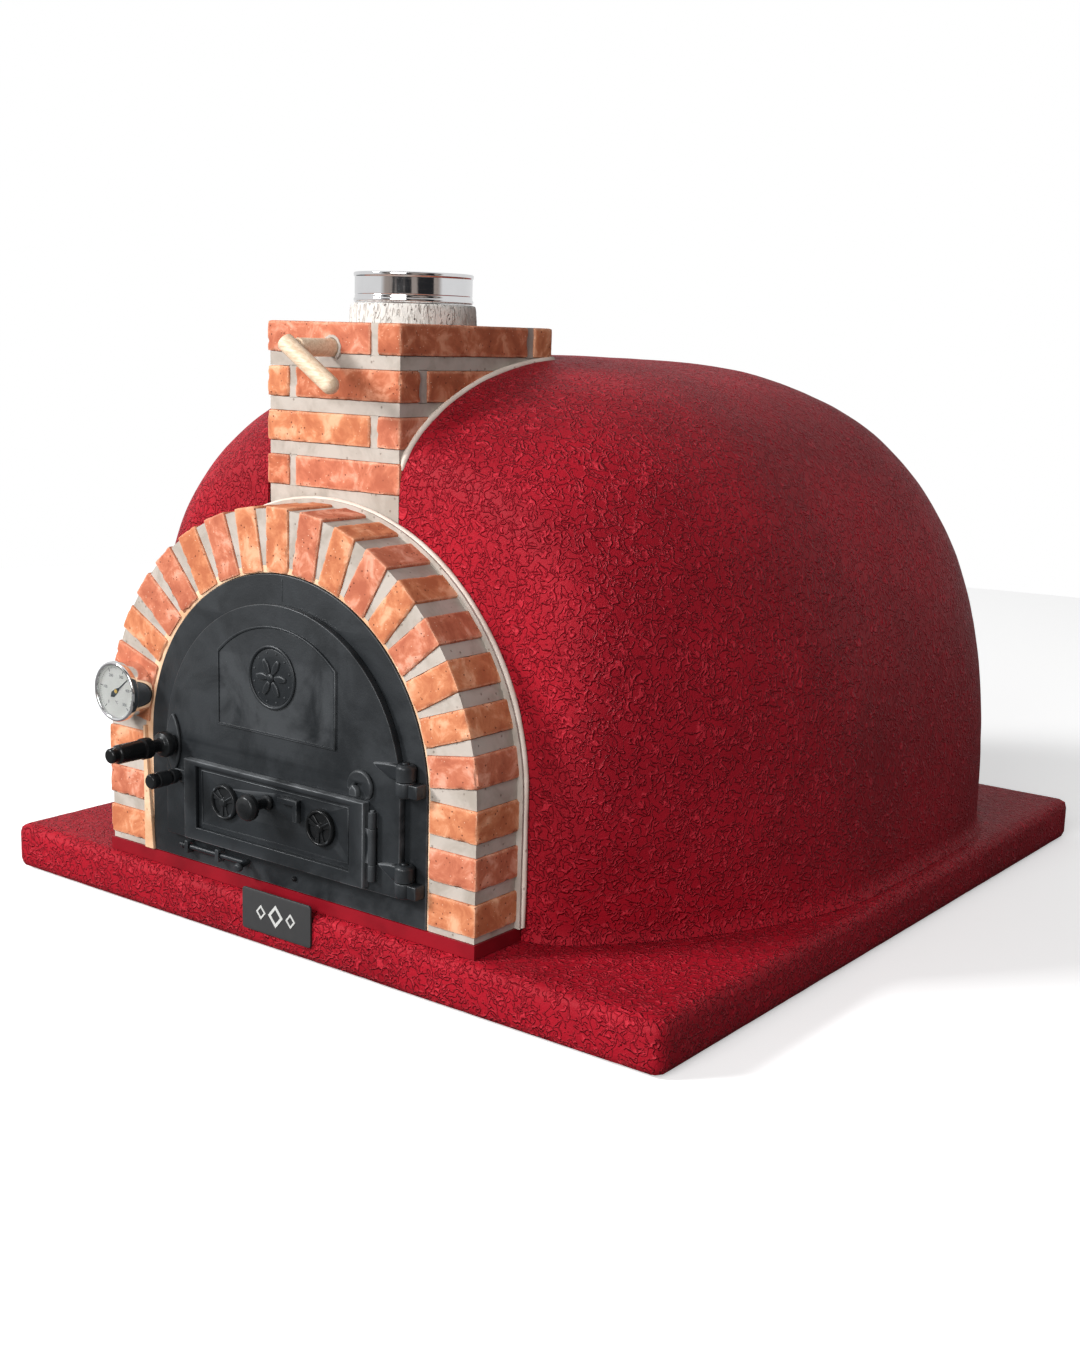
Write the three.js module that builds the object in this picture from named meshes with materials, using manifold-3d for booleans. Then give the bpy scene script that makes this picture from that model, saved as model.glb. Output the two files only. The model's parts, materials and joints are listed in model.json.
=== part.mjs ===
// Wood fired pizza oven in millimetres, +Z up, front towards -Y.
// The origin is the centre of the slab's underside.
import * as THREE from "three";
import { mergeVertices } from "three/addons/utils/BufferGeometryUtils.js";
import Module from "manifold-3d";

const wasm = await Module();
wasm.setup();

// Clearances
const gap = 0.3; // between pieces that rest on or fill each other
const runningGap = 0.3; // round a pin, spindle or rod that turns
const overcut = 5; // how far a cutting solid runs past the face it cuts
const rooted = 2; // how far a boss or lug sinks into the plate it is cast with

// Base
const slabWidth = 1100;
const slabDepth = 1200;
const slabThickness = 65;
const slabEdge = 7;
const slabCornerRadius = 9;
const plinthHeight = 17;
const hearthHeight = 40;
const hearthFromFrame = 20;
const hearthTongue = 40; // how far the floor of the mouth runs on into the cavity
const hearthSideGap = 1;

// Brick arch
const archX = -35;
const archFrontInset = 13.5;
const archDepth = 86.5;
const archSpringAbovePlinth = 156;
const archInnerRadius = 248;
const brickLength = 72;
const brickDepth = 77;
const brickThickness = 37;
const brickThicknessSpread = 1.5;
const jambBrickCount = 3;
const jambBrickHeight = 39;
const jambJoint = 16.5;
const jambBed = 8;
const voussoirCount = 17;
const voussoirPitch = 10.2;
const mortarRecess = 3;
const beadRise = 5;

// Mouth liner and door frame
const linerThickness = 12;
const frameShift = 9;
const linerRecess = 3.5;
const frameRecess = 1;
const frameThickness = 10;
const frameRail = 58;
const frameSillRise = 44;

// Dome
const domeHalfWidth = 521;
const domeFrontReach = 588;
const domeBackReach = 519;
const domeHeight = 677;
const domeCentreFromFront = 535;
const domeShoulder = 2.65;
const domeRoundness = 2.97;
const domeFrontPowerLow = 1.7;
const domeFrontPowerHigh = 3.04;
const domeBackPower = 6;
const domeTurns = 36;
const domeLevels = 9;
const renderThickness = 25;
const blanketThickness = 50;
const vaultThickness = 60;
const layerGap = 0.5;

// Chimney and flue
const chimneyX = -28;
const chimneyWidth = 224;
const chimneyDepth = 298;
const courseCount = 4;
const courseHeight = 38;
const courseJoint = 17;
const courseBrickWidth = 38;
const passageRadius = 68;
const chimneyRootRise = 124; // from the springing to the foot of the stack
const pipeRadius = 75;
const pipeWall = 3;
const pipeRise = 63;
const collarHeight = 25;
const collarWall = 3;

// Damper
const rodRadius = 11;
const rodReach = 58;
const rodBelowTop = 31;
const crankLength = 77;
const crankDrop = 33; // degrees below level
const plateClearance = 4;
const plateThickness = 4;
const plateSpindleRadius = 6;
const plateSpindleSeat = 18;
const rodFromPassage = 4;

// Door leaf
const leafOverlap = 25; // over the frame round the opening
const leafThickness = 10;
const leafSillRise = 34;
const leafRosetteWidth = 22;
const leafRosetteHeight = 60;
const leafRosetteThickness = 3;

// Door hinges
const hingeOut = 9;
const knuckleRadius = 8;
const hingePinRadius = 4;
const upperHingeRise = 179;
const lowerHingeRise = 58;
const knuckleHeight = 19;
const hingeStrapReach = 26;
const hingeStrapThickness = 6;
const hingePinHead = 3;

// Vent door
const ventHalfWidth = 156;
const ventBottomRise = 39;
const ventHeight = 105;
const ventThickness = 12;
const ventRail = 22;
const ventPanelThickness = 6;
const ventWindowMargin = 4;
const ventKnuckleRadius = 5;
const ventPinRadius = 2.5;
const ventKnuckleHeight = 44;
const ventEarHeight = 16;
const ventEarReach = 28;
const ventEarThickness = 5;
const ventLugWidth = 8;
const ventLugHeight = 20;
const ventPinHead = 2;
const ventWebThickness = 4;
const ventHandleRadius = 10;
const ventHandleReach = 48;
const ventHandleRise = 117;

// Rotary air discs
const discRadius = 23;
const discThickness = 3.6;
const discOffset = 84;
const discRise = 60;
const discSlotInner = 7;
const discSlotOuter = 17;
const discSlotSpan = 62;
const discHubRadius = 5;
const discHubRise = 3;

// Latches
const latchFromEdge = 17;
const latchRise = 158;
const latchSpindleRadius = 6;
const latchCamLength = 32;
const latchCamWidth = 12;
const latchCamThickness = 4;
const latchCamMargin = 6; // round the cam in the frame's notch
const latchCamRim = 3;
const latchSpindleStub = 3;
const ventKnobOffset = -8;
const ventKnobRise = 74;
const ventKnobReach = 43;
const ventKnobRadius = 13;
const ventKnobShank = 4;
const ventCamLength = 25;
const ventCamWidth = 9;
const ventCamThickness = 3;

// Slide bolt
const boltRadius = 4;
const boltLength = 126;
const boltFromLeft = 52;
const boltRise = 21;
const boltStandoff = 2;
const boltKnobReach = 12;
const staplePlaces = [15, 73];
const stapleWidth = 6;
const stapleHeight = 16;
const stapleWall = 3;

// Temperature gauge
const gaugeFromArchEdge = 54;
const gaugeAboveSpring = 58.7;
const gaugeCaseRadius = 36;
const gaugeBezelRadius = 40;
const gaugeBezelDepth = 9;
const gaugeStand = 35;
const gaugeWindowRadius = 36.5;
const gaugeWindowDepth = 6.5;
const gaugeEdge = 1.5;
const dialThickness = 1;
const needleThickness = 0.8;
const needleLength = 28;
const needleTail = 9;
const needleTailHalf = 1.6;
const needleTipHalf = 0.6;
const needleHubRadius = 4;
const needleHubHeight = 1.6;
const windowGlassThickness = 1.2;

// Name plate
const plateX = -20;
const plateWidth = 120;
const plateHeight = 54;
const plateDepth = 3;
const plateCorner = 4;
const plateAboveSlab = 12;

// Levels and planes that follow from the sizes above
const slabFront = -slabDepth / 2;
const slabTop = slabThickness;
const plinthTop = slabTop + gap + plinthHeight;
const springZ = plinthTop + archSpringAbovePlinth;
const archFront = slabFront + archFrontInset;
const archBack = archFront + archDepth;
const archOuterRadius = archInnerRadius + brickLength;
const domeFront = archBack + gap;
const domeY = slabFront + domeCentreFromFront;
const blanketInset = renderThickness + layerGap;
const vaultInset = blanketInset + blanketThickness + layerGap;
const cavityInset = vaultInset + vaultThickness;
const cavityFront = domeFront + cavityInset;
const doorX = archX + frameShift;
const frameRadius = archInnerRadius - linerThickness;
const openingRadius = frameRadius - frameRail;
const leafRadius = openingRadius + leafOverlap;
const frameFront = archFront + frameRecess;
const frameBack = frameFront + frameThickness;
const frameBottom = plinthTop + gap;
const leafFront = frameFront - gap - leafThickness;
const leafBottom = plinthTop + leafSillRise;
const ventFront = leafFront - gap - ventThickness;
const ventBottom = plinthTop + ventBottomRise;
const ventPanelFront = leafFront - gap - ventPanelThickness;
const hingeX = doorX + leafRadius + hingeOut;
const hingeY = leafFront;
const ventHingeX = doorX + ventHalfWidth + ventKnuckleRadius + ventLugWidth / 2;
const ventHingeY = leafFront - gap - ventKnuckleRadius;
const latchX = doorX - leafRadius + latchFromEdge;
const latchZ = plinthTop + latchRise;
const chimneyFront = domeFront;
const chimneyY = chimneyFront + chimneyDepth / 2;
const chimneyTop = springZ + archOuterRadius + courseCount * (courseHeight + courseJoint);
const chimneyRoot = springZ + chimneyRootRise;
const rodZ = chimneyTop - rodBelowTop;
const boltY = frameFront - boltRadius - boltStandoff;
const boltZ = plinthTop + boltRise;
const boltLeft = doorX - frameRadius + boltFromLeft;
const ventKnobX = doorX + ventKnobOffset;
const gaugeX = archX - archOuterRadius + gaugeFromArchEdge;
const gaugeZ = springZ + gaugeAboveSpring;
const ventKnobZ = ventBottom + ventKnobRise;

const finish = (color, roughness, metalness = 0) =>
  new THREE.MeshStandardMaterial({ color, roughness, metalness });
const redStucco = finish(0xa51623, 0.8);
const darkRed = finish(0x8c1419, 0.45);
const brick = finish(0xd9805a, 0.85);
const mortar = finish(0xd7cdc6, 0.9);
const terracotta = finish(0xe0b080, 0.7);
const firebrick = finish(0xcbb994, 0.95);
const blanket = finish(0xe8e6e0, 1);
const castIron = finish(0x34373a, 0.5, 0.8);
const stainless = finish(0xc8c8ca, 0.2, 1);
const beech = finish(0xebcdaf, 0.6);
const dialWhite = finish(0xf2f0ea, 0.5);
const blackPaint = finish(0x18191a, 0.5);
const glass = finish(0xffffff, 0.05);
const plateBlack = finish(0x323232, 0.6, 0.3);

const oven = new THREE.Group();

function addMesh(name, geometry, material) {
  const mesh = new THREE.Mesh(geometry, material);
  mesh.name = name;
  oven.add(mesh);
}

function toSolid(geometry) {
  const plain = geometry.clone();
  plain.deleteAttribute("normal");
  plain.deleteAttribute("uv");
  const merged = mergeVertices(plain, 1e-4);
  const vertProperties = new Float32Array(merged.attributes.position.array);
  const triVerts = new Uint32Array(merged.index.array);
  return new wasm.Manifold(new wasm.Mesh({ numProp: 3, vertProperties, triVerts }));
}

function toGeometry(solid) {
  const mesh = solid.getMesh();
  const geometry = new THREE.BufferGeometry();
  geometry.setAttribute("position", new THREE.BufferAttribute(mesh.vertProperties, 3));
  geometry.setIndex(new THREE.BufferAttribute(mesh.triVerts, 1));
  geometry.computeVertexNormals();
  return geometry;
}

function joined(...geometries) {
  return geometries.map(toSolid).reduce((whole, part) => whole.add(part));
}

function boxFrom(x0, x1, y0, y1, z0, z1) {
  const box = new THREE.BoxGeometry(x1 - x0, y1 - y0, z1 - z0);
  return box.translate((x0 + x1) / 2, (y0 + y1) / 2, (z0 + z1) / 2);
}

// A shape drawn in the XZ plane, running from yFront to yBack.
function extrudeY(shape, yFront, yBack, curveSegments = 24) {
  const depth = yBack - yFront;
  const geometry = new THREE.ExtrudeGeometry(shape, { depth, bevelEnabled: false, curveSegments });
  return geometry.rotateX(Math.PI / 2).translate(0, yBack, 0);
}

function roundBarY(x, z, radius, yFront, yBack, sides = 20) {
  const bar = new THREE.CylinderGeometry(radius, radius, yBack - yFront, sides);
  return bar.translate(0, (yFront + yBack) / 2, 0).translate(x, 0, z);
}

function roundBarZ(x, y, radius, z0, z1, sides = 20) {
  const bar = new THREE.CylinderGeometry(radius, radius, z1 - z0, sides);
  return bar.rotateX(Math.PI / 2).translate(x, y, (z0 + z1) / 2);
}

// A turned piece about +Y: profile points are [radius, distance towards the front].
function turnedY(profile, x, yBack, z, sides = 24) {
  const points = profile.map(([radius, along]) => new THREE.Vector2(radius, along));
  return new THREE.LatheGeometry(points, sides).rotateX(Math.PI).translate(x, yBack, z);
}

function archShape(x, radius, bottom) {
  const shape = new THREE.Shape();
  shape.moveTo(x - radius, bottom);
  shape.lineTo(x - radius, springZ);
  shape.absarc(x, springZ, radius, Math.PI, 0, true);
  shape.lineTo(x + radius, bottom);
  shape.closePath();
  return shape;
}

function horseshoe(outerX, outerRadius, innerX, innerRadius, bottom) {
  const shape = new THREE.Shape();
  shape.moveTo(outerX - outerRadius, bottom);
  shape.lineTo(outerX - outerRadius, springZ);
  shape.absarc(outerX, springZ, outerRadius, Math.PI, 0, true);
  shape.lineTo(outerX + outerRadius, bottom);
  shape.lineTo(innerX + innerRadius, bottom);
  shape.lineTo(innerX + innerRadius, springZ);
  shape.absarc(innerX, springZ, innerRadius, 0, Math.PI, false);
  shape.lineTo(innerX - innerRadius, bottom);
  shape.closePath();
  return shape;
}

function roundedRectangle(width, height, radius) {
  const shape = new THREE.Shape();
  const right = width / 2;
  const top = height / 2;
  shape.moveTo(radius - right, -top);
  shape.absarc(right - radius, radius - top, radius, -Math.PI / 2, 0, false);
  shape.absarc(right - radius, top - radius, radius, 0, Math.PI / 2, false);
  shape.absarc(radius - right, top - radius, radius, Math.PI / 2, Math.PI, false);
  shape.absarc(radius - right, radius - top, radius, Math.PI, Math.PI * 1.5, false);
  return shape;
}

function baseSlab() {
  const outline = roundedRectangle(slabWidth - 2 * slabEdge, slabDepth - 2 * slabEdge, slabCornerRadius);
  const geometry = new THREE.ExtrudeGeometry(outline, {
    depth: slabThickness - 2 * slabEdge,
    bevelSize: slabEdge,
    bevelThickness: slabEdge,
    bevelSegments: 3,
    curveSegments: 3,
  });
  addMesh("base_slab", geometry.translate(0, 0, slabEdge), redStucco);
}

function basePlinth() {
  const x0 = archX - archOuterRadius;
  const x1 = archX + archOuterRadius;
  addMesh("base_plinth", boxFrom(x0, x1, archFront, archBack, slabTop + gap, plinthTop), darkRed);
}

function jambBrickCentre(row) {
  return plinthTop + gap + jambBed + jambBrickHeight / 2 + row * (jambBrickHeight + jambJoint);
}

// Every brick of the arch as { angle, thickness, x, z }, from the left foot over to the right.
function archBricks() {
  const bricks = [];
  const middle = archInnerRadius + brickLength / 2;
  for (let row = 0; row < jambBrickCount; row += 1) {
    bricks.push({ angle: 0, thickness: jambBrickHeight, x: archX - middle, z: jambBrickCentre(row) });
  }
  for (let index = 0; index < voussoirCount; index += 1) {
    const degrees = 90 - (index - (voussoirCount - 1) / 2) * voussoirPitch;
    const angle = THREE.MathUtils.degToRad(degrees);
    const thickness = brickThickness + brickThicknessSpread * Math.sin(index * 2.4);
    const x = archX + middle * Math.cos(angle);
    bricks.push({ angle, thickness, x, z: springZ + middle * Math.sin(angle) });
  }
  for (let row = jambBrickCount - 1; row >= 0; row -= 1) {
    bricks.push({ angle: 0, thickness: jambBrickHeight, x: archX + middle, z: jambBrickCentre(row) });
  }
  return bricks;
}

function brickGeometry({ angle, thickness, x, z }, grow) {
  const box = new THREE.BoxGeometry(brickLength + 2 * grow, brickDepth + 2 * grow, thickness + 2 * grow);
  return box.rotateY(-angle).translate(x, archFront + brickDepth / 2, z);
}

function brickArch() {
  const bricks = archBricks();
  const bottom = plinthTop + gap;
  const face = horseshoe(archX, archOuterRadius - mortarRecess, archX, archInnerRadius, bottom);
  const backing = horseshoe(archX, archOuterRadius + beadRise, archX, archInnerRadius, bottom);
  const backingFront = archFront + brickDepth + gap;
  let body = joined(
    extrudeY(face, archFront + mortarRecess, archBack, 30),
    extrudeY(backing, backingFront, archBack, 30),
  );
  bricks.forEach((oneBrick, index) => {
    body = body.subtract(toSolid(brickGeometry(oneBrick, gap)));
    const number = String(index + 1).padStart(2, "0");
    addMesh(`arch_brick_${number}`, brickGeometry(oneBrick, 0), brick);
  });
  const reach = 2 * archOuterRadius;
  const half = (x0, x1) => body.intersect(toSolid(boxFrom(x0, x1, archFront, archBack, 0, springZ + reach)));
  addMesh("arch_mortar_left", toGeometry(half(archX - reach, archX - gap / 2)), mortar);
  addMesh("arch_mortar_right", toGeometry(half(archX + gap / 2, archX + reach)), mortar);
}

function mouthLiner() {
  const shape = horseshoe(archX, archInnerRadius - gap, doorX, frameRadius + gap, plinthTop + gap);
  const liner = toSolid(extrudeY(shape, archFront + linerRecess, cavityFront, 30));
  addMesh("mouth_liner", toGeometry(liner.subtract(fluePassage())), terracotta);
}

// The dome as a solid, drawn in by inset from the outer render, with its foot dropped below the slab's top.
function domeSolid(inset, drop) {
  const halfWidth = domeHalfWidth - inset;
  const height = domeHeight - inset;
  const points = [];
  for (let level = -1; level < domeLevels; level += 1) {
    const share = level < 0 ? 0 : Math.sin(((level / domeLevels) * Math.PI) / 2);
    const reach = (1 - share ** domeShoulder) ** (1 / domeRoundness);
    const frontPower = domeFrontPowerLow + (domeFrontPowerHigh - domeFrontPowerLow) * share;
    const z = level < 0 ? -drop : share * height;
    for (let turn = 0; turn < domeTurns; turn += 1) {
      const angle = ((turn + 0.5) / domeTurns) * 2 * Math.PI;
      const c = Math.cos(angle);
      const s = Math.sin(angle);
      const power = s < 0 ? frontPower : domeBackPower;
      const length = (s < 0 ? domeFrontReach : domeBackReach) - inset;
      const scale = reach * (Math.abs(c) ** power + Math.abs(s) ** power) ** (-1 / power);
      points.push(c * scale * halfWidth, s * scale * length, z);
    }
  }
  points.push(0, 0, height, 0, 0, -drop);
  const geometry = new THREE.BufferGeometry();
  geometry.setAttribute("position", new THREE.Float32BufferAttribute(points, 3));
  geometry.setIndex(domeIndex(domeLevels + 1));
  geometry.translate(0, domeY, slabTop + gap);
  const reach = domeFrontReach + domeBackReach;
  const front = domeFront + inset;
  const side = 2 * domeHalfWidth;
  const behind = boxFrom(-side, side, front, front + 2 * reach, -drop, 2 * domeHeight);
  return toSolid(geometry).intersect(toSolid(behind));
}

function domeIndex(rings) {
  const index = [];
  const apex = rings * domeTurns;
  const foot = apex + 1;
  for (let turn = 0; turn < domeTurns; turn += 1) {
    const next = (turn + 1) % domeTurns;
    for (let ring = 0; ring < rings - 1; ring += 1) {
      const a = ring * domeTurns + turn;
      const b = ring * domeTurns + next;
      index.push(a, b, b + domeTurns, a, b + domeTurns, a + domeTurns);
    }
    const last = (rings - 1) * domeTurns;
    index.push(last + turn, last + next, apex, foot, next, turn);
  }
  return index;
}

function mouthCut() {
  const shape = archShape(archX, archInnerRadius, slabTop - overcut);
  return toSolid(extrudeY(shape, archBack - overcut, cavityFront + vaultThickness, 30));
}

function chimneyFootprint() {
  const x0 = chimneyX - chimneyWidth / 2 - gap;
  const x1 = chimneyX + chimneyWidth / 2 + gap;
  const y1 = chimneyFront + chimneyDepth + gap;
  return toSolid(boxFrom(x0, x1, chimneyFront - gap, y1, chimneyRoot, chimneyTop + domeHeight));
}

function fluePassage() {
  return toSolid(roundBarZ(chimneyX, chimneyY, passageRadius, springZ, chimneyTop + overcut, 28));
}

function domeShells() {
  const openings = mouthCut().add(chimneyFootprint());
  const shell = (outer, inner) => domeSolid(outer, 0).subtract(domeSolid(inner, overcut)).subtract(openings);
  addMesh("outer_render", toGeometry(shell(0, renderThickness)), redStucco);
  const blanketInner = blanketInset + blanketThickness;
  addMesh("insulation_blanket", toGeometry(shell(blanketInset, blanketInner)), blanket);
  addMesh("inner_dome", toGeometry(shell(vaultInset, cavityInset)), firebrick);
}

function hearthFloor() {
  const top = slabTop + gap + hearthHeight;
  const low = slabTop + gap;
  const x0 = doorX - frameRadius + hearthSideGap;
  const x1 = doorX + frameRadius - hearthSideGap;
  const behindArch = archBack + gap;
  const inMouth = boxFrom(x0, x1, frameBack + hearthFromFrame, behindArch + rooted, plinthTop + gap, top);
  const inWall = boxFrom(x0, x1, behindArch, cavityFront + hearthTongue, low, top);
  const footHalf = archInnerRadius - gap;
  const footBack = cavityFront + gap;
  const foot = boxFrom(archX - footHalf, archX + footHalf, behindArch, footBack, low, plinthTop);
  const layer = boxFrom(-slabWidth, slabWidth, -slabDepth, slabDepth, low, top);
  const inCavity = domeSolid(cavityInset + gap, 0).intersect(toSolid(layer));
  addMesh("hearth_floor", toGeometry(joined(inMouth, inWall, foot).add(inCavity)), firebrick);
}

function courseTop(course) {
  return chimneyTop - course * (courseHeight + courseJoint);
}

// A rectangle of the stack's plan, drawn in by inset from the brick faces.
function stackBlock(inset, bottom, top) {
  const half = chimneyWidth / 2 - inset;
  const y0 = chimneyFront + inset;
  const y1 = chimneyFront + chimneyDepth - inset;
  return toSolid(boxFrom(chimneyX - half, chimneyX + half, y0, y1, bottom, top));
}

function courseRing(course) {
  const top = courseTop(course);
  const bottom = top - courseHeight;
  const core = stackBlock(courseBrickWidth, bottom - overcut, top + overcut);
  return stackBlock(0, bottom, top).subtract(core);
}

// The room that a course takes in the mortar core.
function courseNotch(course) {
  const top = courseTop(course) + (course === 0 ? overcut : gap);
  const bottom = courseTop(course) - courseHeight - gap;
  const core = stackBlock(courseBrickWidth + gap, bottom - overcut, top + overcut);
  return stackBlock(-overcut, bottom, top).subtract(core);
}

function rodHole() {
  const back = chimneyY + passageRadius + plateSpindleSeat + gap;
  const wide = roundBarY(chimneyX, rodZ, rodRadius + runningGap, chimneyFront - overcut, chimneyY);
  const narrow = roundBarY(chimneyX, rodZ, plateSpindleRadius + runningGap, chimneyY - overcut, back);
  return joined(wide, narrow);
}

function chimneyStack() {
  let core = stackBlock(mortarRecess, chimneyRoot, chimneyTop);
  core = core.subtract(mouthCut()).subtract(domeSolid(cavityInset - gap, 0));
  core = core.subtract(fluePassage()).subtract(rodHole());
  for (let course = 0; course < courseCount; course += 1) {
    core = core.subtract(courseNotch(course));
    const ring = course === 0 ? courseRing(course).subtract(rodHole()) : courseRing(course);
    addMesh(`chimney_course_${course + 1}`, toGeometry(ring), brick);
  }
  addMesh("chimney_mortar", toGeometry(core), mortar);
}

function flue() {
  const base = chimneyTop + gap;
  const inner = pipeRadius - pipeWall;
  const rim = [
    [inner, 0], [pipeRadius, 0], [pipeRadius, collarHeight + 2], [pipeRadius + 1.5, collarHeight + 4],
    [pipeRadius + 1.5, collarHeight + 6], [pipeRadius, collarHeight + 8], [pipeRadius, pipeRise - 6],
    [pipeRadius + 1.5, pipeRise - 4], [pipeRadius + 1.5, pipeRise - 1], [pipeRadius, pipeRise],
    [inner, pipeRise], [inner, 0],
  ];
  const collar = [
    [pipeRadius + gap, 0], [pipeRadius + gap + collarWall, 0],
    [pipeRadius + gap + collarWall, collarHeight], [pipeRadius + gap, collarHeight], [pipeRadius + gap, 0],
  ];
  const turned = (profile) => {
    const points = profile.map(([radius, z]) => new THREE.Vector2(radius, z));
    return new THREE.LatheGeometry(points, 32).rotateX(Math.PI / 2).translate(chimneyX, chimneyY, base);
  };
  addMesh("flue_pipe", turned(rim), stainless);
  addMesh("flue_collar", turned(collar), mortar);
}

function damper() {
  const tip = chimneyFront - rodReach;
  const rodBack = chimneyY - passageRadius - rodFromPassage;
  addMesh("damper_rod", roundBarY(chimneyX, rodZ, rodRadius, tip, rodBack), beech);
  const radius = passageRadius - plateClearance;
  const disc = new THREE.CylinderGeometry(radius, radius, plateThickness, 32).rotateX(Math.PI / 2);
  const drop = THREE.MathUtils.degToRad(crankDrop);
  disc.rotateY(drop).translate(chimneyX, chimneyY, rodZ);
  const seat = chimneyY + passageRadius + plateSpindleSeat;
  const spindle = roundBarY(chimneyX, rodZ, plateSpindleRadius, rodBack + gap, seat, 16);
  addMesh("damper_plate", toGeometry(joined(disc, spindle)), castIron);
  const end = [];
  for (let step = 0; step <= 5; step += 1) {
    const turn = (step / 5) * (Math.PI / 2);
    end.push(new THREE.Vector2(rodRadius * Math.cos(turn), crankLength + rodRadius * Math.sin(turn)));
  }
  end[5].x = 0;
  const profile = [new THREE.Vector2(0, -rodRadius), new THREE.Vector2(rodRadius, -rodRadius), ...end];
  const crank = new THREE.LatheGeometry(profile, 20).rotateZ(-Math.PI / 2).rotateY(drop);
  addMesh("damper_crank", crank.translate(chimneyX, tip - gap - rodRadius, rodZ), beech);
}

function leafKnuckle(rise) {
  const z0 = plinthTop + rise;
  const z1 = z0 + knuckleHeight;
  const strapEnd = hingeX - knuckleRadius - hingeStrapReach;
  const half = hingeStrapThickness / 2;
  const strap = boxFrom(strapEnd, hingeX, leafFront - half, leafFront + half, z0, z1);
  return joined(roundBarZ(hingeX, hingeY, knuckleRadius, z0, z1), strap);
}

function frameKnuckle(rise) {
  const z1 = plinthTop + rise - gap;
  const z0 = z1 - knuckleHeight;
  const x0 = hingeX - knuckleRadius;
  const foot = boxFrom(x0, hingeX + knuckleRadius, hingeY, frameFront + rooted, z0, z1);
  return joined(roundBarZ(hingeX, hingeY, knuckleRadius, z0, z1), foot);
}

function hingeBore(rise) {
  const z = plinthTop + rise;
  const reach = 2 * knuckleHeight;
  return toSolid(roundBarZ(hingeX, hingeY, hingePinRadius + runningGap, z - reach, z + reach));
}

function hingePins() {
  [["hinge_pin_lower", lowerHingeRise], ["hinge_pin_upper", upperHingeRise]].forEach(([name, rise]) => {
    const z = plinthTop + rise;
    const top = z + knuckleHeight + hingePinHead;
    addMesh(name, roundBarZ(hingeX, hingeY, hingePinRadius, z - knuckleHeight, top), castIron);
  });
}

// The frame is notched where the latch cam hangs when the door is unlatched.
function camNotch() {
  const x0 = latchX - latchCamWidth / 2 - latchCamMargin;
  const x1 = doorX - openingRadius + overcut;
  const z0 = latchZ - latchCamLength - latchCamMargin;
  const z1 = latchZ + latchCamWidth / 2 + latchCamMargin;
  return toSolid(boxFrom(x0, x1, frameFront - overcut, frameBack + overcut, z0, z1));
}

function staples() {
  const blocks = staplePlaces.map((place) => {
    const x0 = boltLeft + place;
    const y0 = boltY - boltRadius - stapleWall;
    const half = stapleHeight / 2;
    return boxFrom(x0, x0 + stapleWidth, y0, frameFront + rooted, boltZ - half, boltZ + half);
  });
  const boreRadius = boltRadius + runningGap;
  const bore = new THREE.CylinderGeometry(boreRadius, boreRadius, 2 * boltLength, 16);
  return joined(...blocks).subtract(toSolid(bore.rotateZ(Math.PI / 2).translate(boltLeft, boltY, boltZ)));
}

function doorFrame() {
  const outline = archShape(doorX, frameRadius, frameBottom);
  const opening = archShape(doorX, openingRadius, plinthTop + frameSillRise);
  let frame = toSolid(extrudeY(outline, frameFront, frameBack, 30));
  frame = frame.subtract(toSolid(extrudeY(opening, frameFront - overcut, frameBack + overcut, 30)));
  frame = frame.subtract(camNotch());
  [upperHingeRise, lowerHingeRise].forEach((rise) => {
    frame = frame.add(frameKnuckle(rise)).subtract(hingeBore(rise));
  });
  addMesh("door_frame", toGeometry(frame.add(staples())), castIron);
}

function slideBolt() {
  const rod = new THREE.CylinderGeometry(boltRadius, boltRadius, boltLength, 16).rotateZ(Math.PI / 2);
  const knob = roundBarY(boltLeft + boltLength, boltZ, boltRadius, boltY - boltKnobReach, boltY, 16);
  const bolt = joined(rod.translate(boltLeft + boltLength / 2, boltY, boltZ), knob);
  addMesh("slide_bolt", toGeometry(bolt), castIron);
}

// The window behind the vent door, for draught and for raking ash.
function ventWindow() {
  const half = ventHalfWidth - ventRail - ventWindowMargin;
  const z0 = ventBottom + ventRail;
  const z1 = ventBottom + ventHeight - ventRail / 2 - ventWindowMargin;
  const back = leafFront + leafThickness + overcut;
  return toSolid(boxFrom(doorX - half, doorX + half, leafFront - overcut, back, z0, z1));
}

function latchRosette() {
  const rosette = new THREE.CylinderGeometry(1, 1, leafRosetteThickness + rooted, 20);
  rosette.scale(leafRosetteWidth / 2, 1, leafRosetteHeight / 2);
  return toSolid(rosette.translate(latchX, leafFront + (rooted - leafRosetteThickness) / 2, latchZ));
}

function doorLeaf() {
  const outline = archShape(doorX, leafRadius, leafBottom);
  let leaf = toSolid(extrudeY(outline, leafFront, leafFront + leafThickness, 30));
  leaf = leaf.subtract(ventWindow()).add(latchRosette());
  const boreFront = leafFront - leafRosetteThickness - overcut;
  const boreRadius = latchSpindleRadius + runningGap;
  leaf = leaf.subtract(toSolid(roundBarY(latchX, latchZ, boreRadius, boreFront, frameBack)));
  [upperHingeRise, lowerHingeRise].forEach((rise) => {
    leaf = leaf.add(leafKnuckle(rise)).subtract(hingeBore(rise));
  });
  addMesh("door_leaf", toGeometry(leaf.add(ventLugs()).subtract(ventBore())), castIron);
}

function ventKnuckleSpan() {
  const middle = ventBottom + ventHeight / 2;
  return [middle - ventKnuckleHeight / 2, middle + ventKnuckleHeight / 2];
}

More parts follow.
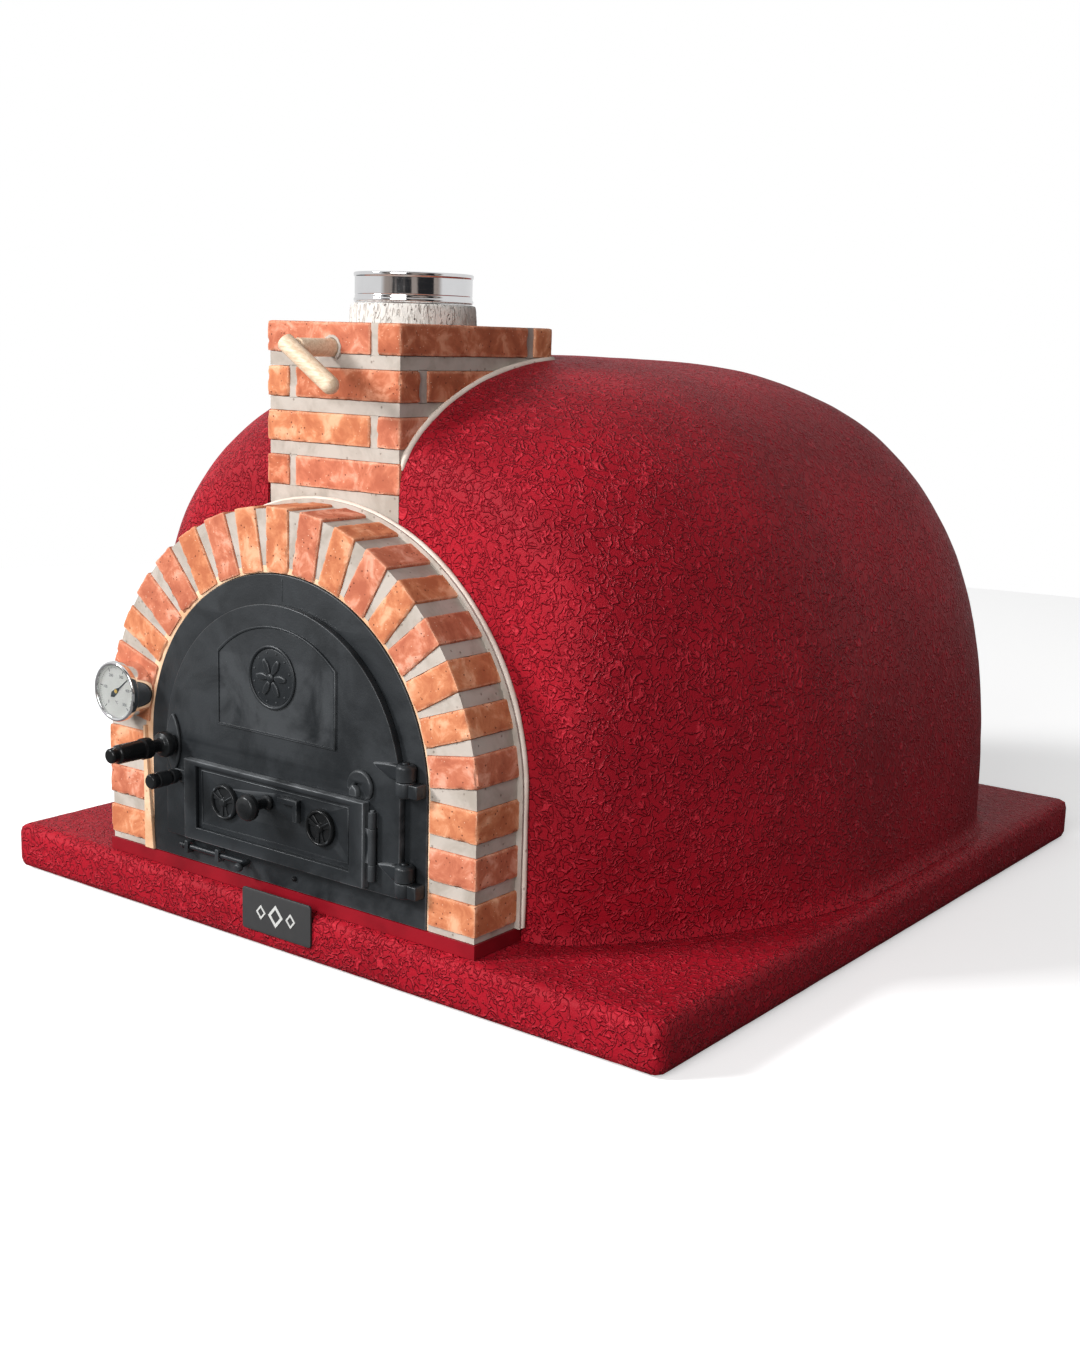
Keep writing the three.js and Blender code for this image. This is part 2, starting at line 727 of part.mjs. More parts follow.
function ventLugs() {
  const [low, high] = ventKnuckleSpan();
  const half = ventLugWidth / 2;
  const lug = (z0, z1) => {
    const foot = boxFrom(ventHingeX - half, ventHingeX + half, ventHingeY, leafFront + rooted, z0, z1);
    return joined(roundBarZ(ventHingeX, ventHingeY, ventKnuckleRadius, z0, z1, 16), foot);
  };
  return lug(high + gap, high + gap + ventLugHeight).add(lug(low - gap - ventLugHeight, low - gap));
}

function ventBore() {
  const [low, high] = ventKnuckleSpan();
  const radius = ventPinRadius + runningGap;
  const reach = 2 * ventLugHeight;
  return toSolid(roundBarZ(ventHingeX, ventHingeY, radius, low - reach, high + reach, 16));
}

function slotShapes(x, z) {
  const shapes = [];
  const span = THREE.MathUtils.degToRad(discSlotSpan);
  for (let slot = 0; slot < 3; slot += 1) {
    const start = Math.PI / 2 + (slot * 2 * Math.PI) / 3 - span / 2;
    const shape = new THREE.Shape();
    shape.absarc(x, z, discSlotOuter, start, start + span, false);
    shape.absarc(x, z, discSlotInner, start + span, start, true);
    shape.closePath();
    shapes.push(shape);
  }
  return shapes;
}

function ventDoor() {
  const top = ventBottom + ventHeight;
  const x0 = doorX - ventHalfWidth;
  const x1 = doorX + ventHalfWidth;
  const back = leafFront - gap;
  const handleZ = plinthTop + ventHandleRise;
  const panelLeft = x0 + ventRail;
  const panelRight = x1 - ventRail;
  const panelLow = ventBottom + ventRail - overcut;
  const panelHigh = top - ventRail / 2;
  const recessFront = ventFront - overcut;
  const recess = boxFrom(panelLeft, panelRight, recessFront, ventPanelFront, panelLow, panelHigh);
  let door = toSolid(boxFrom(x0, x1, ventFront, back, ventBottom, top)).subtract(toSolid(recess));
  const half = ventEarHeight / 2;
  const earFront = back - ventEarThickness;
  const ear = boxFrom(x0 - ventEarReach, x0 + rooted, earFront, back, handleZ - half, handleZ + half);
  door = door.add(toSolid(ear));
  const [low, high] = ventKnuckleSpan();
  const boss = roundBarZ(ventHingeX, ventHingeY, ventKnuckleRadius, low, high, 16);
  const webHalf = ventWebThickness / 2;
  const web = boxFrom(x1 - rooted, ventHingeX, ventHingeY - webHalf, ventHingeY + webHalf, low, high);
  door = door.add(joined(boss, web)).subtract(ventBore());
  [-discOffset, discOffset].forEach((offset) => {
    slotShapes(doorX + offset, ventBottom + discRise).forEach((shape) => {
      door = door.subtract(toSolid(extrudeY(shape, recessFront, back + overcut, 5)));
    });
  });
  const shankRadius = ventKnobShank + runningGap;
  const shankBore = roundBarY(ventKnobX, ventKnobZ, shankRadius, recessFront, back + overcut);
  addMesh("vent_door", toGeometry(door.subtract(toSolid(shankBore))), castIron);
}

function ventDoorPin() {
  const [low, high] = ventKnuckleSpan();
  const bottom = low - gap - ventLugHeight;
  const top = high + gap + ventLugHeight + ventPinHead;
  addMesh("vent_door_pin", roundBarZ(ventHingeX, ventHingeY, ventPinRadius, bottom, top, 16), castIron);
}

function ventDoorHandle() {
  const x = doorX - ventHalfWidth - ventEarReach + ventHandleRadius;
  const back = leafFront - gap - ventEarThickness;
  const neck = ventHandleRadius - 2;
  const grip = [
    [0, gap], [neck, gap], [neck, 8], [ventHandleRadius, 12],
    [ventHandleRadius, ventHandleReach - 2], [neck, ventHandleReach], [0, ventHandleReach],
  ];
  addMesh("vent_door_handle", turnedY(grip, x, back, plinthTop + ventHandleRise, 20), blackPaint);
}

function airDiscs() {
  const z = ventBottom + discRise;
  const back = ventPanelFront - gap;
  [["air_disc_left", -discOffset], ["air_disc_right", discOffset]].forEach(([name, offset]) => {
    const x = doorX + offset;
    const rim = roundBarY(x, z, discRadius, back - discThickness, back, 32);
    const hub = roundBarY(x, z, discHubRadius, back - discThickness - discHubRise, back, 16);
    let disc = joined(rim, hub);
    slotShapes(x, z).forEach((shape) => {
      disc = disc.subtract(toSolid(extrudeY(shape, back - discThickness - overcut, back + overcut, 5)));
    });
    addMesh(name, toGeometry(disc), castIron);
  });
}

function latchHandle() {
  const back = frameBack + gap + latchCamThickness + latchSpindleStub;
  const seat = back - (leafFront - leafRosetteThickness) + gap;
  const grip = [
    [0, 0], [latchSpindleRadius, 0], [latchSpindleRadius, seat], [11, seat], [11, seat + 5],
    [17, seat + 7], [17, seat + 18], [12, seat + 21], [9, seat + 24], [9, seat + 34],
    [14, seat + 37], [14, seat + 48], [12, seat + 50], [12, seat + 92], [9, seat + 96],
    [9, seat + 101], [7, seat + 103], [0, seat + 103],
  ];
  addMesh("latch_handle", turnedY(grip, latchX, back, latchZ), blackPaint);
}

function latchCam() {
  const half = latchCamWidth / 2;
  const y0 = frameBack + 2 * gap;
  const y1 = y0 + latchCamThickness;
  const bar = boxFrom(latchX - half, latchX + half, y0, y1, latchZ - latchCamLength, latchZ);
  const hub = roundBarY(latchX, latchZ, half + latchCamRim, y0, y1);
  const bore = roundBarY(latchX, latchZ, latchSpindleRadius + gap, y0 - overcut, y1 + overcut);
  addMesh("latch_cam", toGeometry(joined(bar, hub).subtract(toSolid(bore))), castIron);
}

function ventLatchKnob() {
  const back = leafFront + leafThickness + gap + ventCamThickness;
  const seat = back - ventPanelFront;
  const end = seat + ventKnobReach;
  const profile = [
    [0, 0], [ventKnobShank, 0], [ventKnobShank, seat + gap], [8, seat + gap], [8, seat + 4], [6, seat + 8],
    [6, end - 14], [ventKnobRadius, end - 10], [ventKnobRadius, end - 4], [ventKnobRadius - 4, end], [0, end],
  ];
  const half = ventCamWidth / 2;
  const tip = ventKnobX - ventCamLength;
  const cam = boxFrom(tip, ventKnobX, back - ventCamThickness, back, ventKnobZ - half, ventKnobZ + half);
  const knob = joined(turnedY(profile, ventKnobX, back, ventKnobZ, 20), cam);
  addMesh("vent_latch_knob", toGeometry(knob), blackPaint);
}

function gauge() {
  const back = archFront - gap;
  const floor = gaugeStand - gaugeWindowDepth;
  const lip = gaugeStand - gaugeBezelDepth;
  const cup = [
    [0, 0], [gaugeCaseRadius, 0], [gaugeCaseRadius, lip], [gaugeBezelRadius, lip],
    [gaugeBezelRadius, gaugeStand - gaugeEdge], [gaugeBezelRadius - gaugeEdge, gaugeStand],
    [gaugeWindowRadius, gaugeStand], [gaugeWindowRadius, floor], [0, floor],
  ];
  addMesh("gauge_case", turnedY(cup, gaugeX, back, gaugeZ, 36), stainless);
  const inner = gaugeWindowRadius - gap;
  const dialBack = back - floor - gap;
  const dialFront = dialBack - dialThickness;
  addMesh("gauge_dial", roundBarY(gaugeX, gaugeZ, inner, dialFront, dialBack, 36), dialWhite);
  addMesh("gauge_needle", gaugeNeedle(dialFront - gap), blackPaint);
  const glassBack = dialFront - gap - needleHubHeight - gap;
  const glassFront = glassBack - windowGlassThickness;
  addMesh("gauge_glass", roundBarY(gaugeX, gaugeZ, inner, glassFront, glassBack, 36), glass);
}

function gaugeNeedle(back) {
  const blade = new THREE.Shape();
  blade.moveTo(-needleTailHalf, -needleTail);
  blade.lineTo(needleTailHalf, -needleTail);
  blade.lineTo(needleTipHalf, needleLength);
  blade.lineTo(-needleTipHalf, needleLength);
  blade.closePath();
  const plate = extrudeY(blade, back - needleThickness, back).translate(gaugeX, 0, gaugeZ);
  const hub = roundBarY(gaugeX, gaugeZ, needleHubRadius, back - needleHubHeight, back, 16);
  return toGeometry(joined(plate, hub));
}

function namePlate() {
  const top = slabTop + plateAboveSlab;
  const back = slabFront - gap;
  const outline = roundedRectangle(plateWidth, plateHeight, plateCorner);
  const geometry = extrudeY(outline, back - plateDepth, back, 3);
  addMesh("name_plate", geometry.translate(plateX, 0, top - plateHeight / 2), plateBlack);
}

baseSlab();
basePlinth();
hearthFloor();
domeShells();
brickArch();
mouthLiner();
chimneyStack();
flue();
damper();
doorFrame();
slideBolt();
doorLeaf();
hingePins();
ventDoor();
ventDoorPin();
ventDoorHandle();
airDiscs();
latchHandle();
latchCam();
ventLatchKnob();
gauge();
namePlate();

export default oven;
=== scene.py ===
import json
import math

import bmesh
import bpy
import numpy as np
from mathutils import Matrix, Vector, noise


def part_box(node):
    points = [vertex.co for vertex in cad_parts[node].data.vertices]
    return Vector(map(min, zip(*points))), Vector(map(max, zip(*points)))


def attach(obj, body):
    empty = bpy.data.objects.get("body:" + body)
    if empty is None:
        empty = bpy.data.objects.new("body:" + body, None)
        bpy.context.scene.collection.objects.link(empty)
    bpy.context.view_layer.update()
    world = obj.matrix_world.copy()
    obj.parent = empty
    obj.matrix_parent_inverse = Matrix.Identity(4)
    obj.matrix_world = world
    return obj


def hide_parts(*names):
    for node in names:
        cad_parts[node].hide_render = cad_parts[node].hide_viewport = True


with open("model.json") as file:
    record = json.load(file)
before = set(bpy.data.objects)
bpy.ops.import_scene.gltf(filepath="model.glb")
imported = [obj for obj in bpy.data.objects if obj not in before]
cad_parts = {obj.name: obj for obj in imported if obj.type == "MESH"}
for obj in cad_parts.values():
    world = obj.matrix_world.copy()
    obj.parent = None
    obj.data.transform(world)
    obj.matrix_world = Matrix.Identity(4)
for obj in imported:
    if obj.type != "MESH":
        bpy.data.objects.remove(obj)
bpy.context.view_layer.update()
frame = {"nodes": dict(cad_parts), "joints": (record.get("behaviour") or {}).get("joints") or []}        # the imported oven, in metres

mm = 0.001
print("frame loaded:", len(frame["nodes"]), "nodes")


# Helpers that make and place pieces.

def linked(name, data):
    made = bpy.data.objects.new(name, data)
    bpy.context.scene.collection.objects.link(made)
    return made


# Welds points closer than weld metres and turns every face outwards.
def cleaned(mesh, weld=0.0, outward=True):
    work = bmesh.new()
    work.from_mesh(mesh)
    if weld:
        bmesh.ops.remove_doubles(work, verts=work.verts, dist=weld)
    if outward:
        bmesh.ops.recalc_face_normals(work, faces=work.faces)
    work.to_mesh(mesh)
    work.free()
    return mesh


def meshFrom(name, verts, faces, sharp=32):
    mesh = bpy.data.meshes.new(name)
    mesh.from_pydata([tuple(v) for v in verts], [], [tuple(f) for f in faces])
    mesh.validate()
    mesh.shade_smooth()
    mesh.set_sharp_from_angle(angle=math.radians(sharp))
    return mesh


def addPiece(name, mesh, body, material, replaced=()):
    piece = linked(name, mesh)
    mesh.materials.clear()
    mesh.materials.append(material)
    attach(piece, body)
    if replaced:
        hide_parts(*replaced)
    return piece


def finishNode(name, material, bevel=0.0):
    node = frame["nodes"][name]
    node.data.materials.clear()
    node.data.materials.append(material)
    if bevel:
        edge = node.modifiers.new("softEdges", "BEVEL")
        edge.width = bevel * mm
        edge.segments = 2
        edge.limit_method = "ANGLE"
        edge.angle_limit = math.radians(35)
    return node


def nodeCentre(name):
    low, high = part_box(name)
    return (low + high) / 2


# Local x stays x, local y goes up and local z comes forward, for flat work on the oven's face.
facingFront = Matrix(((1, 0, 0, 0), (0, 0, -1, 0), (0, 1, 0, 0), (0, 0, 0, 1)))


def arcPoints(cx, cy, radius, start, end, steps):
    turn = [math.radians(start + (end - start) * i / steps) for i in range(steps + 1)]
    return [(cx + radius * math.cos(a), cy + radius * math.sin(a)) for a in turn]


def archOutline(cx, bottom, springLine, radius, steps=72):
    points = [(cx + radius, bottom)] + arcPoints(cx, springLine, radius, 0, 180, steps)
    return points + [(cx - radius, bottom)]


def roundedRect(x0, y0, x1, y1, radius, steps=5):
    corners = [(x1 - radius, y0 + radius, -90), (x1 - radius, y1 - radius, 0),
               (x0 + radius, y1 - radius, 90), (x0 + radius, y0 + radius, 180)]
    return [p for cx, cy, a in corners for p in arcPoints(cx, cy, radius, a, a + 90, steps)]


def rectangle(x0, z0, x1, z1):
    return [(x0, z0), (x1, z0), (x1, z1), (x0, z1)]


# The profile of a plain round bar for turnedMesh.
def barProfile(radius, start, end):
    return [(0, start), (radius, start), (radius, end), (0, end)]


# A flat plate in the oven's face from outlines in millimetres: the first is its edge, the rest are holes.
def plateMesh(name, outlines, back, front, edge=0.8, sharp=32):
    curve = bpy.data.curves.new(name, "CURVE")
    curve.dimensions = "2D"
    curve.fill_mode = "BOTH"
    curve.extrude = ((back - front) / 2 - edge) * mm
    curve.bevel_depth = edge * mm
    curve.bevel_resolution = 2
    curve.offset = -edge * mm
    for outline in outlines:
        spline = curve.splines.new("POLY")
        spline.points.add(len(outline) - 1)
        for point, (x, y) in zip(spline.points, outline):
            point.co = (x * mm, y * mm, 0, 1)
        spline.use_cyclic_u = True
    drawn = linked(name, curve)
    bpy.context.view_layer.update()
    shape = drawn.evaluated_get(bpy.context.evaluated_depsgraph_get())
    mesh = bpy.data.meshes.new_from_object(shape)
    bpy.data.objects.remove(drawn)
    mesh.transform(Matrix.Translation((0, (back + front) / 2 * mm, 0)) @ facingFront)
    cleaned(mesh, weld=1e-6)
    mesh.shade_smooth()
    mesh.set_sharp_from_angle(angle=math.radians(sharp))
    return mesh


# Rounds every corner of a turned profile of (radius, along) points.
def easedProfile(profile, ease):
    eased = [profile[0]]
    for before, here, after in zip(profile, profile[1:], profile[2:]):
        a, b, c = Vector(before), Vector(here), Vector(after)
        reach = min(ease, (a - b).length * 0.45, (c - b).length * 0.45)
        start = b + (a - b).normalized() * reach
        end = b + (c - b).normalized() * reach
        for t in (0, 0.33, 0.67, 1):
            eased.append(tuple(start * (1 - t) ** 2 + b * 2 * t * (1 - t) + end * t ** 2))
    return eased + [profile[-1]]


# A closed turned body. The axis runs from origin along direction; sizes are in millimetres.
def turnedMesh(name, profile, origin, direction=(0, -1, 0), sides=56, ease=0.8, sharp=38):
    profile = easedProfile(profile, ease)
    axis = Vector(direction).normalized()
    across = axis.orthogonal().normalized()
    third = axis.cross(across)
    closed = profile[0] == profile[-1]
    rings = profile[:-1] if closed else profile[1:-1]
    start = Vector(origin)
    verts = []
    for radius, along in rings:
        for i in range(sides):
            a = 2 * math.pi * i / sides
            verts.append((start + axis * along + (across * math.cos(a) + third * math.sin(a)) * radius) * mm)
    faces = []
    count = len(rings)
    for ring in range(count if closed else count - 1):
        low, high = ring * sides, ((ring + 1) % count) * sides
        for i in range(sides):
            j = (i + 1) % sides
            faces.append((low + i, low + j, high + j, high + i))
    if not closed:
        faces.append(tuple(range(sides))[::-1])
        faces.append(tuple(range((count - 1) * sides, count * sides)))
    return cleaned(meshFrom(name, verts, faces, sharp))


# A round bead that follows a path of points in metres; width(share) gives its radius there.
def sweptMesh(name, path, width, sides=12):
    verts, faces = [], []
    count = len(path)
    for i, point in enumerate(path):
        ahead = path[min(i + 1, count - 1)] - path[max(i - 1, 0)]
        ahead.normalize()
        side = ahead.orthogonal() if i == 0 else side - ahead * side.dot(ahead)
        side.normalize()
        up = ahead.cross(side)
        for k in range(sides):
            a = 2 * math.pi * k / sides
            reach = width(i / (count - 1)) * (1 + 0.12 * noise.noise(point * 60 + Vector((k * 0.7, 0, 0))))
            verts.append(point + (side * math.cos(a) + up * math.sin(a)) * reach)
    for i in range(count - 1):
        for k in range(sides):
            j = (k + 1) % sides
            faces.append((i * sides + k, i * sides + j, (i + 1) * sides + j, (i + 1) * sides + k))
    faces.append(tuple(range(sides))[::-1])
    faces.append(tuple(range((count - 1) * sides, count * sides)))
    return meshFrom(name, verts, faces, 60)


def wobble(point, scale, seed):
    return noise.noise(point * scale + Vector((seed, seed * 1.7, seed * 0.3)))


# The surface points of a unit of stone or clay: a box on a grid, its corners rounded.
def blockShell(half, radius, step):
    counts = [max(2, round(2 * h / step)) for h in half]
    lines = [np.linspace(-h, h, n + 1) for h, n in zip(half, counts)]
    index, verts, faces = {}, [], []

    def corner(i, j, k):
        key = (i, j, k)
        if key not in index:
            index[key] = len(verts)
            verts.append((lines[0][i], lines[1][j], lines[2][k]))
        return index[key]

    for axis in range(3):
        u, v = [a for a in range(3) if a != axis]
        for end in (0, counts[axis]):
            for i in range(counts[u]):
                for j in range(counts[v]):
                    quad = []
                    for du, dv in ((0, 0), (1, 0), (1, 1), (0, 1)):
                        place = [0, 0, 0]
                        place[axis], place[u], place[v] = end, i + du, j + dv
                        quad.append(corner(*place))
                    faces.append(quad[::-1] if (end == 0) != (axis == 1) else quad)
    points = np.array(verts)
    inner = np.clip(points, -(np.array(half) - radius), np.array(half) - radius)
    away = points - inner
    length = np.linalg.norm(away, axis=1, keepdims=True)
    normal = away / np.maximum(length, 1e-9)
    return inner, normal, faces


# A brick with soft, slightly chipped edges and an uneven skin. Sizes are in millimetres.
def blockMesh(name, size, place, seed, radius=2.2, step=3.2, rough=0.45, chips=1.6):
    half = [s / 2 for s in size]
    inner, normal, faces = blockShell(half, radius, step)
    verts, wear = [], []
    for core, away in zip(inner, normal):
        point = Vector(core)
        edge = sum(1 for a in away if abs(a) > 0.25) >= 2
        chip = max(0, wobble(point, 0.11, seed) - 0.12) * chips if edge else 0
        push = radius - chip * 2 + rough * wobble(point, 0.05, seed + 9)
        push += rough * 0.5 * wobble(point, 0.16, seed)
        spot = point + Vector(away) * min(push, radius)
        verts.append(place @ (spot * mm))
        wear.append(1.0 if edge else 0.0)
    mesh = meshFrom(name, verts, faces, 50)
    worn = mesh.attributes.new("edgeWear", "FLOAT", "POINT")
    worn.data.foreach_set("value", wear)
    return mesh


def joinedMesh(name, meshes):
    whole = bmesh.new()
    for mesh in meshes:
        whole.from_mesh(mesh)
    mesh = bpy.data.meshes.new(name)
    whole.to_mesh(mesh)
    whole.free()
    return mesh


# Cuts or joins closed meshes exactly.
def combined(name, base, others, operation):
    keep = linked(name, base)
    tools = []
    for other in others:
        tool = linked(name + "Tool", other)
        tools.append(tool)
        step = keep.modifiers.new("step", "BOOLEAN")
        step.operation = operation
        step.solver = "MANIFOLD"
        step.object = tool
    bpy.context.view_layer.update()
    made = keep.evaluated_get(bpy.context.evaluated_depsgraph_get())
    mesh = bpy.data.meshes.new_from_object(made)
    for extra in [keep, *tools]:
        bpy.data.objects.remove(extra)
    if not len(mesh.polygons):
        print("empty result:", name)
    mesh.shade_smooth()
    mesh.set_sharp_from_angle(angle=math.radians(34))
    return mesh


def boxMesh(name, low, high):
    verts = [(x, y, z) for x in (low[0], high[0]) for y in (low[1], high[1]) for z in (low[2], high[2])]
    faces = [(0, 1, 3, 2), (4, 6, 7, 5), (0, 4, 5, 1), (2, 3, 7, 6), (0, 2, 6, 4), (1, 5, 7, 3)]
    return meshFrom(name, verts, faces)


def prismMesh(name, outline, back, front):
    count = len(outline)
    verts = [(x * mm, y * mm, z * mm) for y in (back, front) for x, z in outline]
    faces = [tuple(range(count))[::-1], tuple(range(count, 2 * count))]
    faces += [(i, (i + 1) % count, (i + 1) % count + count, i + count) for i in range(count)]
    return meshFrom(name, verts, faces)


# Shorthand for building node trees.
class Nodes:
    def __init__(self, tree):
        self.tree = tree

    def add(self, kind, **values):
        node = self.tree.nodes.new("ShaderNode" + kind)
        for key, value in values.items():
            setattr(node, key, value)
        return node

    def put(self, node, **sockets):
        for key, value in sockets.items():
            socket = node.inputs[key.replace("_", " ")]
            if isinstance(value, bpy.types.NodeSocket):
                self.tree.links.new(value, socket)
            else:
                socket.default_value = value
        return node

    def noise(self, vector, scale, detail=2.0, roughness=0.5, distortion=0.0):
        node = self.add("TexNoise")
        self.put(node, Vector=vector, Scale=scale, Detail=detail, Roughness=roughness,
                 Distortion=distortion)
        return node.outputs["Fac"]

    def math(self, operation, a, b=0.0, clamp=False):
        node = self.add("Math", operation=operation, use_clamp=clamp)
        for socket, value in zip(node.inputs, (a, b)):
            if isinstance(value, bpy.types.NodeSocket):
                self.tree.links.new(value, socket)
            else:
                socket.default_value = value
        return node.outputs[0]

    def ramp(self, value, low, high, toLow=0.0, toHigh=1.0):
        node = self.add("MapRange", interpolation_type="SMOOTHSTEP")
        self.put(node, Value=value, From_Min=low, From_Max=high, To_Min=toLow, To_Max=toHigh)
        return node.outputs["Result"]

    def mix(self, factor, a, b, blend="MIX"):
        node = self.add("MixRGB", blend_type=blend)
        self.put(node, Fac=factor, Color1=a, Color2=b)
        return node.outputs["Color"]

    def dots(self, vector, scale, size):
        node = self.add("TexVoronoi", feature="F1")
        self.put(node, Vector=vector, Scale=scale)
        return self.ramp(node.outputs["Distance"], size, size * 0.45)


def shaderGroup(name, inputs, outputs):
    tree = bpy.data.node_groups.new(name, "ShaderNodeTree")
    for label, kind, value in inputs:
        socket = tree.interface.new_socket(label, in_out="INPUT", socket_type="NodeSocket" + kind)
        if value is not None:
            socket.default_value = value
    for label, kind in outputs:
        tree.interface.new_socket(label, in_out="OUTPUT", socket_type="NodeSocket" + kind)
    kit = Nodes(tree)
    source = tree.nodes.new("NodeGroupInput")
    target = tree.nodes.new("NodeGroupOutput")
    return kit, source.outputs, target.inputs


def closeGroup(kit, target, **results):
    for label, value in results.items():
        kit.tree.links.new(value, target[label])


# Short curly trowel ridges, as in vermiculated render, with a few deep pinholes.
def curlReliefGroup():
    kit, source, target = shaderGroup(
        "curlRelief",
        [("Vector", "Vector", None), ("Scale", "Float", 80.0), ("Width", "Float", 0.05)],
        [("Height", "Float"), ("Ridge", "Float"), ("Pits", "Float")])
    place, scale, width = source["Vector"], source["Scale"], source["Width"]
    ridges = []
    for shift, stretch in (((0.0, 0.0, 0.0), 1.0), ((3.1, 7.4, 1.9), 1.25)):
        moved = kit.add("VectorMath", operation="ADD")
        kit.tree.links.new(place, moved.inputs[0])
        moved.inputs[1].default_value = shift
        field = kit.noise(moved.outputs[0], kit.math("MULTIPLY", scale, stretch), 1.0, 0.4, 0.9)
        line = kit.math("ABSOLUTE", kit.math("SUBTRACT", field, 0.5))
        ridges.append(kit.math("SUBTRACT", 1.0, kit.ramp(line, 0.0, width)))
    breaks = kit.noise(place, kit.math("MULTIPLY", scale, 1.1), 1.0)
    first = kit.math("MULTIPLY", ridges[0], kit.ramp(breaks, 0.4, 0.46))
    second = kit.math("MULTIPLY", ridges[1], kit.ramp(breaks, 0.6, 0.54))
    ridge = kit.math("MAXIMUM", first, second)
    pits = kit.dots(place, kit.math("MULTIPLY", scale, 0.9), 0.1)
    fine = kit.noise(place, kit.math("MULTIPLY", scale, 7.0), 3.0, 0.6)
    height = kit.math("ADD", ridge, kit.math("MULTIPLY", fine, 0.22))
    height = kit.math("SUBTRACT", height, kit.math("MULTIPLY", pits, 0.9))
    closeGroup(kit, target, Height=height, Ridge=ridge, Pits=pits)
    return kit.tree


# Pores and pale flecks of fired clay, mortar and cast stone.
def grainGroup():
    kit, source, target = shaderGroup(
        "gritGrain",
        [("Vector", "Vector", None), ("Scale", "Float", 100.0)],
        [("Pores", "Float"), ("Flecks", "Float"), ("Swirl", "Float"), ("Fine", "Float")])
    place, scale = source["Vector"], source["Scale"]
    pores = kit.dots(place, scale, 0.16)
    flecks = kit.dots(place, kit.math("MULTIPLY", scale, 1.3), 0.11)
    swirl = kit.noise(place, kit.math("MULTIPLY", scale, 0.3), 4.0, 0.62, 0.5)
    fine = kit.noise(place, kit.math("MULTIPLY", scale, 5.0), 3.0, 0.6)
    closeGroup(kit, target, Pores=pores, Flecks=flecks, Swirl=swirl, Fine=fine)
    return kit.tree


# The cast skin of iron: a faint orange peel, cloudy tone and a painted highlight that lightens sharp edges.
def castSkinGroup():
    kit, source, target = shaderGroup(
        "castSkin",
        [("Vector", "Vector", None)],
        [("Cloud", "Float"), ("Peel", "Float"), ("Rubbed", "Float")])
    place = source["Vector"]
    cloud = kit.noise(place, 14.0, 4.0, 0.6, 0.6)
    peel = kit.math("ADD", kit.noise(place, 420.0, 2.0),
                    kit.math("MULTIPLY", kit.noise(place, 90.0, 2.0), 1.4))
    pointy = kit.tree.nodes.new("ShaderNodeNewGeometry").outputs["Pointiness"]
    # Painted highlight: convex edges, found by pointiness, are lightened where the cloud allows.
    edgeHighlight = kit.math("MULTIPLY", kit.ramp(pointy, 0.51, 0.6), kit.ramp(cloud, 0.3, 0.6))
    closeGroup(kit, target, Cloud=cloud, Peel=peel, Rubbed=edgeHighlight)
    return kit.tree


def finishMaterial(name, roughness=0.5, metallic=0.0, specular=0.5):
    made = bpy.data.materials.new(name)
    made.use_nodes = True
    kit = Nodes(made.node_tree)
    shader = made.node_tree.nodes["Principled BSDF"]
    shader.inputs["Roughness"].default_value = roughness
    shader.inputs["Metallic"].default_value = metallic
    shader.inputs["Specular IOR Level"].default_value = specular
    place = kit.add("TexCoord").outputs["Object"]
    return made, kit, shader, place


def placeGroup(kit, tree, place, **values):
    node = kit.tree.nodes.new("ShaderNodeGroup")
    node.node_tree = tree
    kit.put(node, Vector=place, **values)
    return node.outputs


def giveBump(kit, shader, height, distance, strength=1.0):
    bump = kit.add("Bump")
    kit.put(bump, Height=height, Distance=distance, Strength=strength)
    kit.tree.links.new(bump.outputs["Normal"], shader.inputs["Normal"])


curlRelief = curlReliefGroup()
gritGrain = grainGroup()
castSkin = castSkinGroup()

stucco = {
    "name": "crimsonStucco",
    "deep": (0.27, 0.006, 0.014, 1),
    "body": (0.4, 0.009, 0.021, 1),
    # The next tone is a painted highlight laid on the ridges.
    "ridgeHighlight": (0.6, 0.03, 0.05, 1),
    "pit": (0.06, 0.003, 0.006, 1),
    "scale": 68.0,
    "ridgeWidth": 0.066,
    "relief": 3.8 * mm,
    "roughness": 0.5,
    "specular": 0.1,
}


def makeStucco(s):
    made, kit, shader, place = finishMaterial(s["name"], s["roughness"], 0.0, s["specular"])
    curls = placeGroup(kit, curlRelief, place, Scale=s["scale"], Width=s["ridgeWidth"])
    cloud = kit.noise(place, 5.0, 3.0, 0.55)
    base = kit.mix(kit.ramp(cloud, 0.3, 0.7), s["deep"], s["body"])
    # Painted highlight: the raised ridges are mixed towards a lighter red.
    base = kit.mix(kit.math("MULTIPLY", curls["Ridge"], 0.5), base, s["ridgeHighlight"])
    kit.put(shader, Base_Color=kit.mix(kit.math("MULTIPLY", curls["Pits"], 0.7), base, s["pit"]))
    giveBump(kit, shader, curls["Height"], s["relief"], 1.0)
    return made


clay = {
    "orange": {"body": (0.63, 0.235, 0.11, 1), "pale": (0.86, 0.47, 0.29, 1), "deep": (0.4, 0.1, 0.042, 1)},
    "pink": {"body": (0.58, 0.19, 0.105, 1), "pale": (0.82, 0.42, 0.3, 1), "deep": (0.36, 0.085, 0.045, 1)},
    "rust": {"body": (0.52, 0.155, 0.075, 1), "pale": (0.78, 0.36, 0.22, 1), "deep": (0.3, 0.07, 0.032, 1)},
    "fleck": (0.92, 0.7, 0.52, 1),
    "pore": (0.12, 0.03, 0.018, 1),
    "worn": (0.9, 0.56, 0.38, 1),
    "scale": 115.0,
    "specular": 0.2,
}


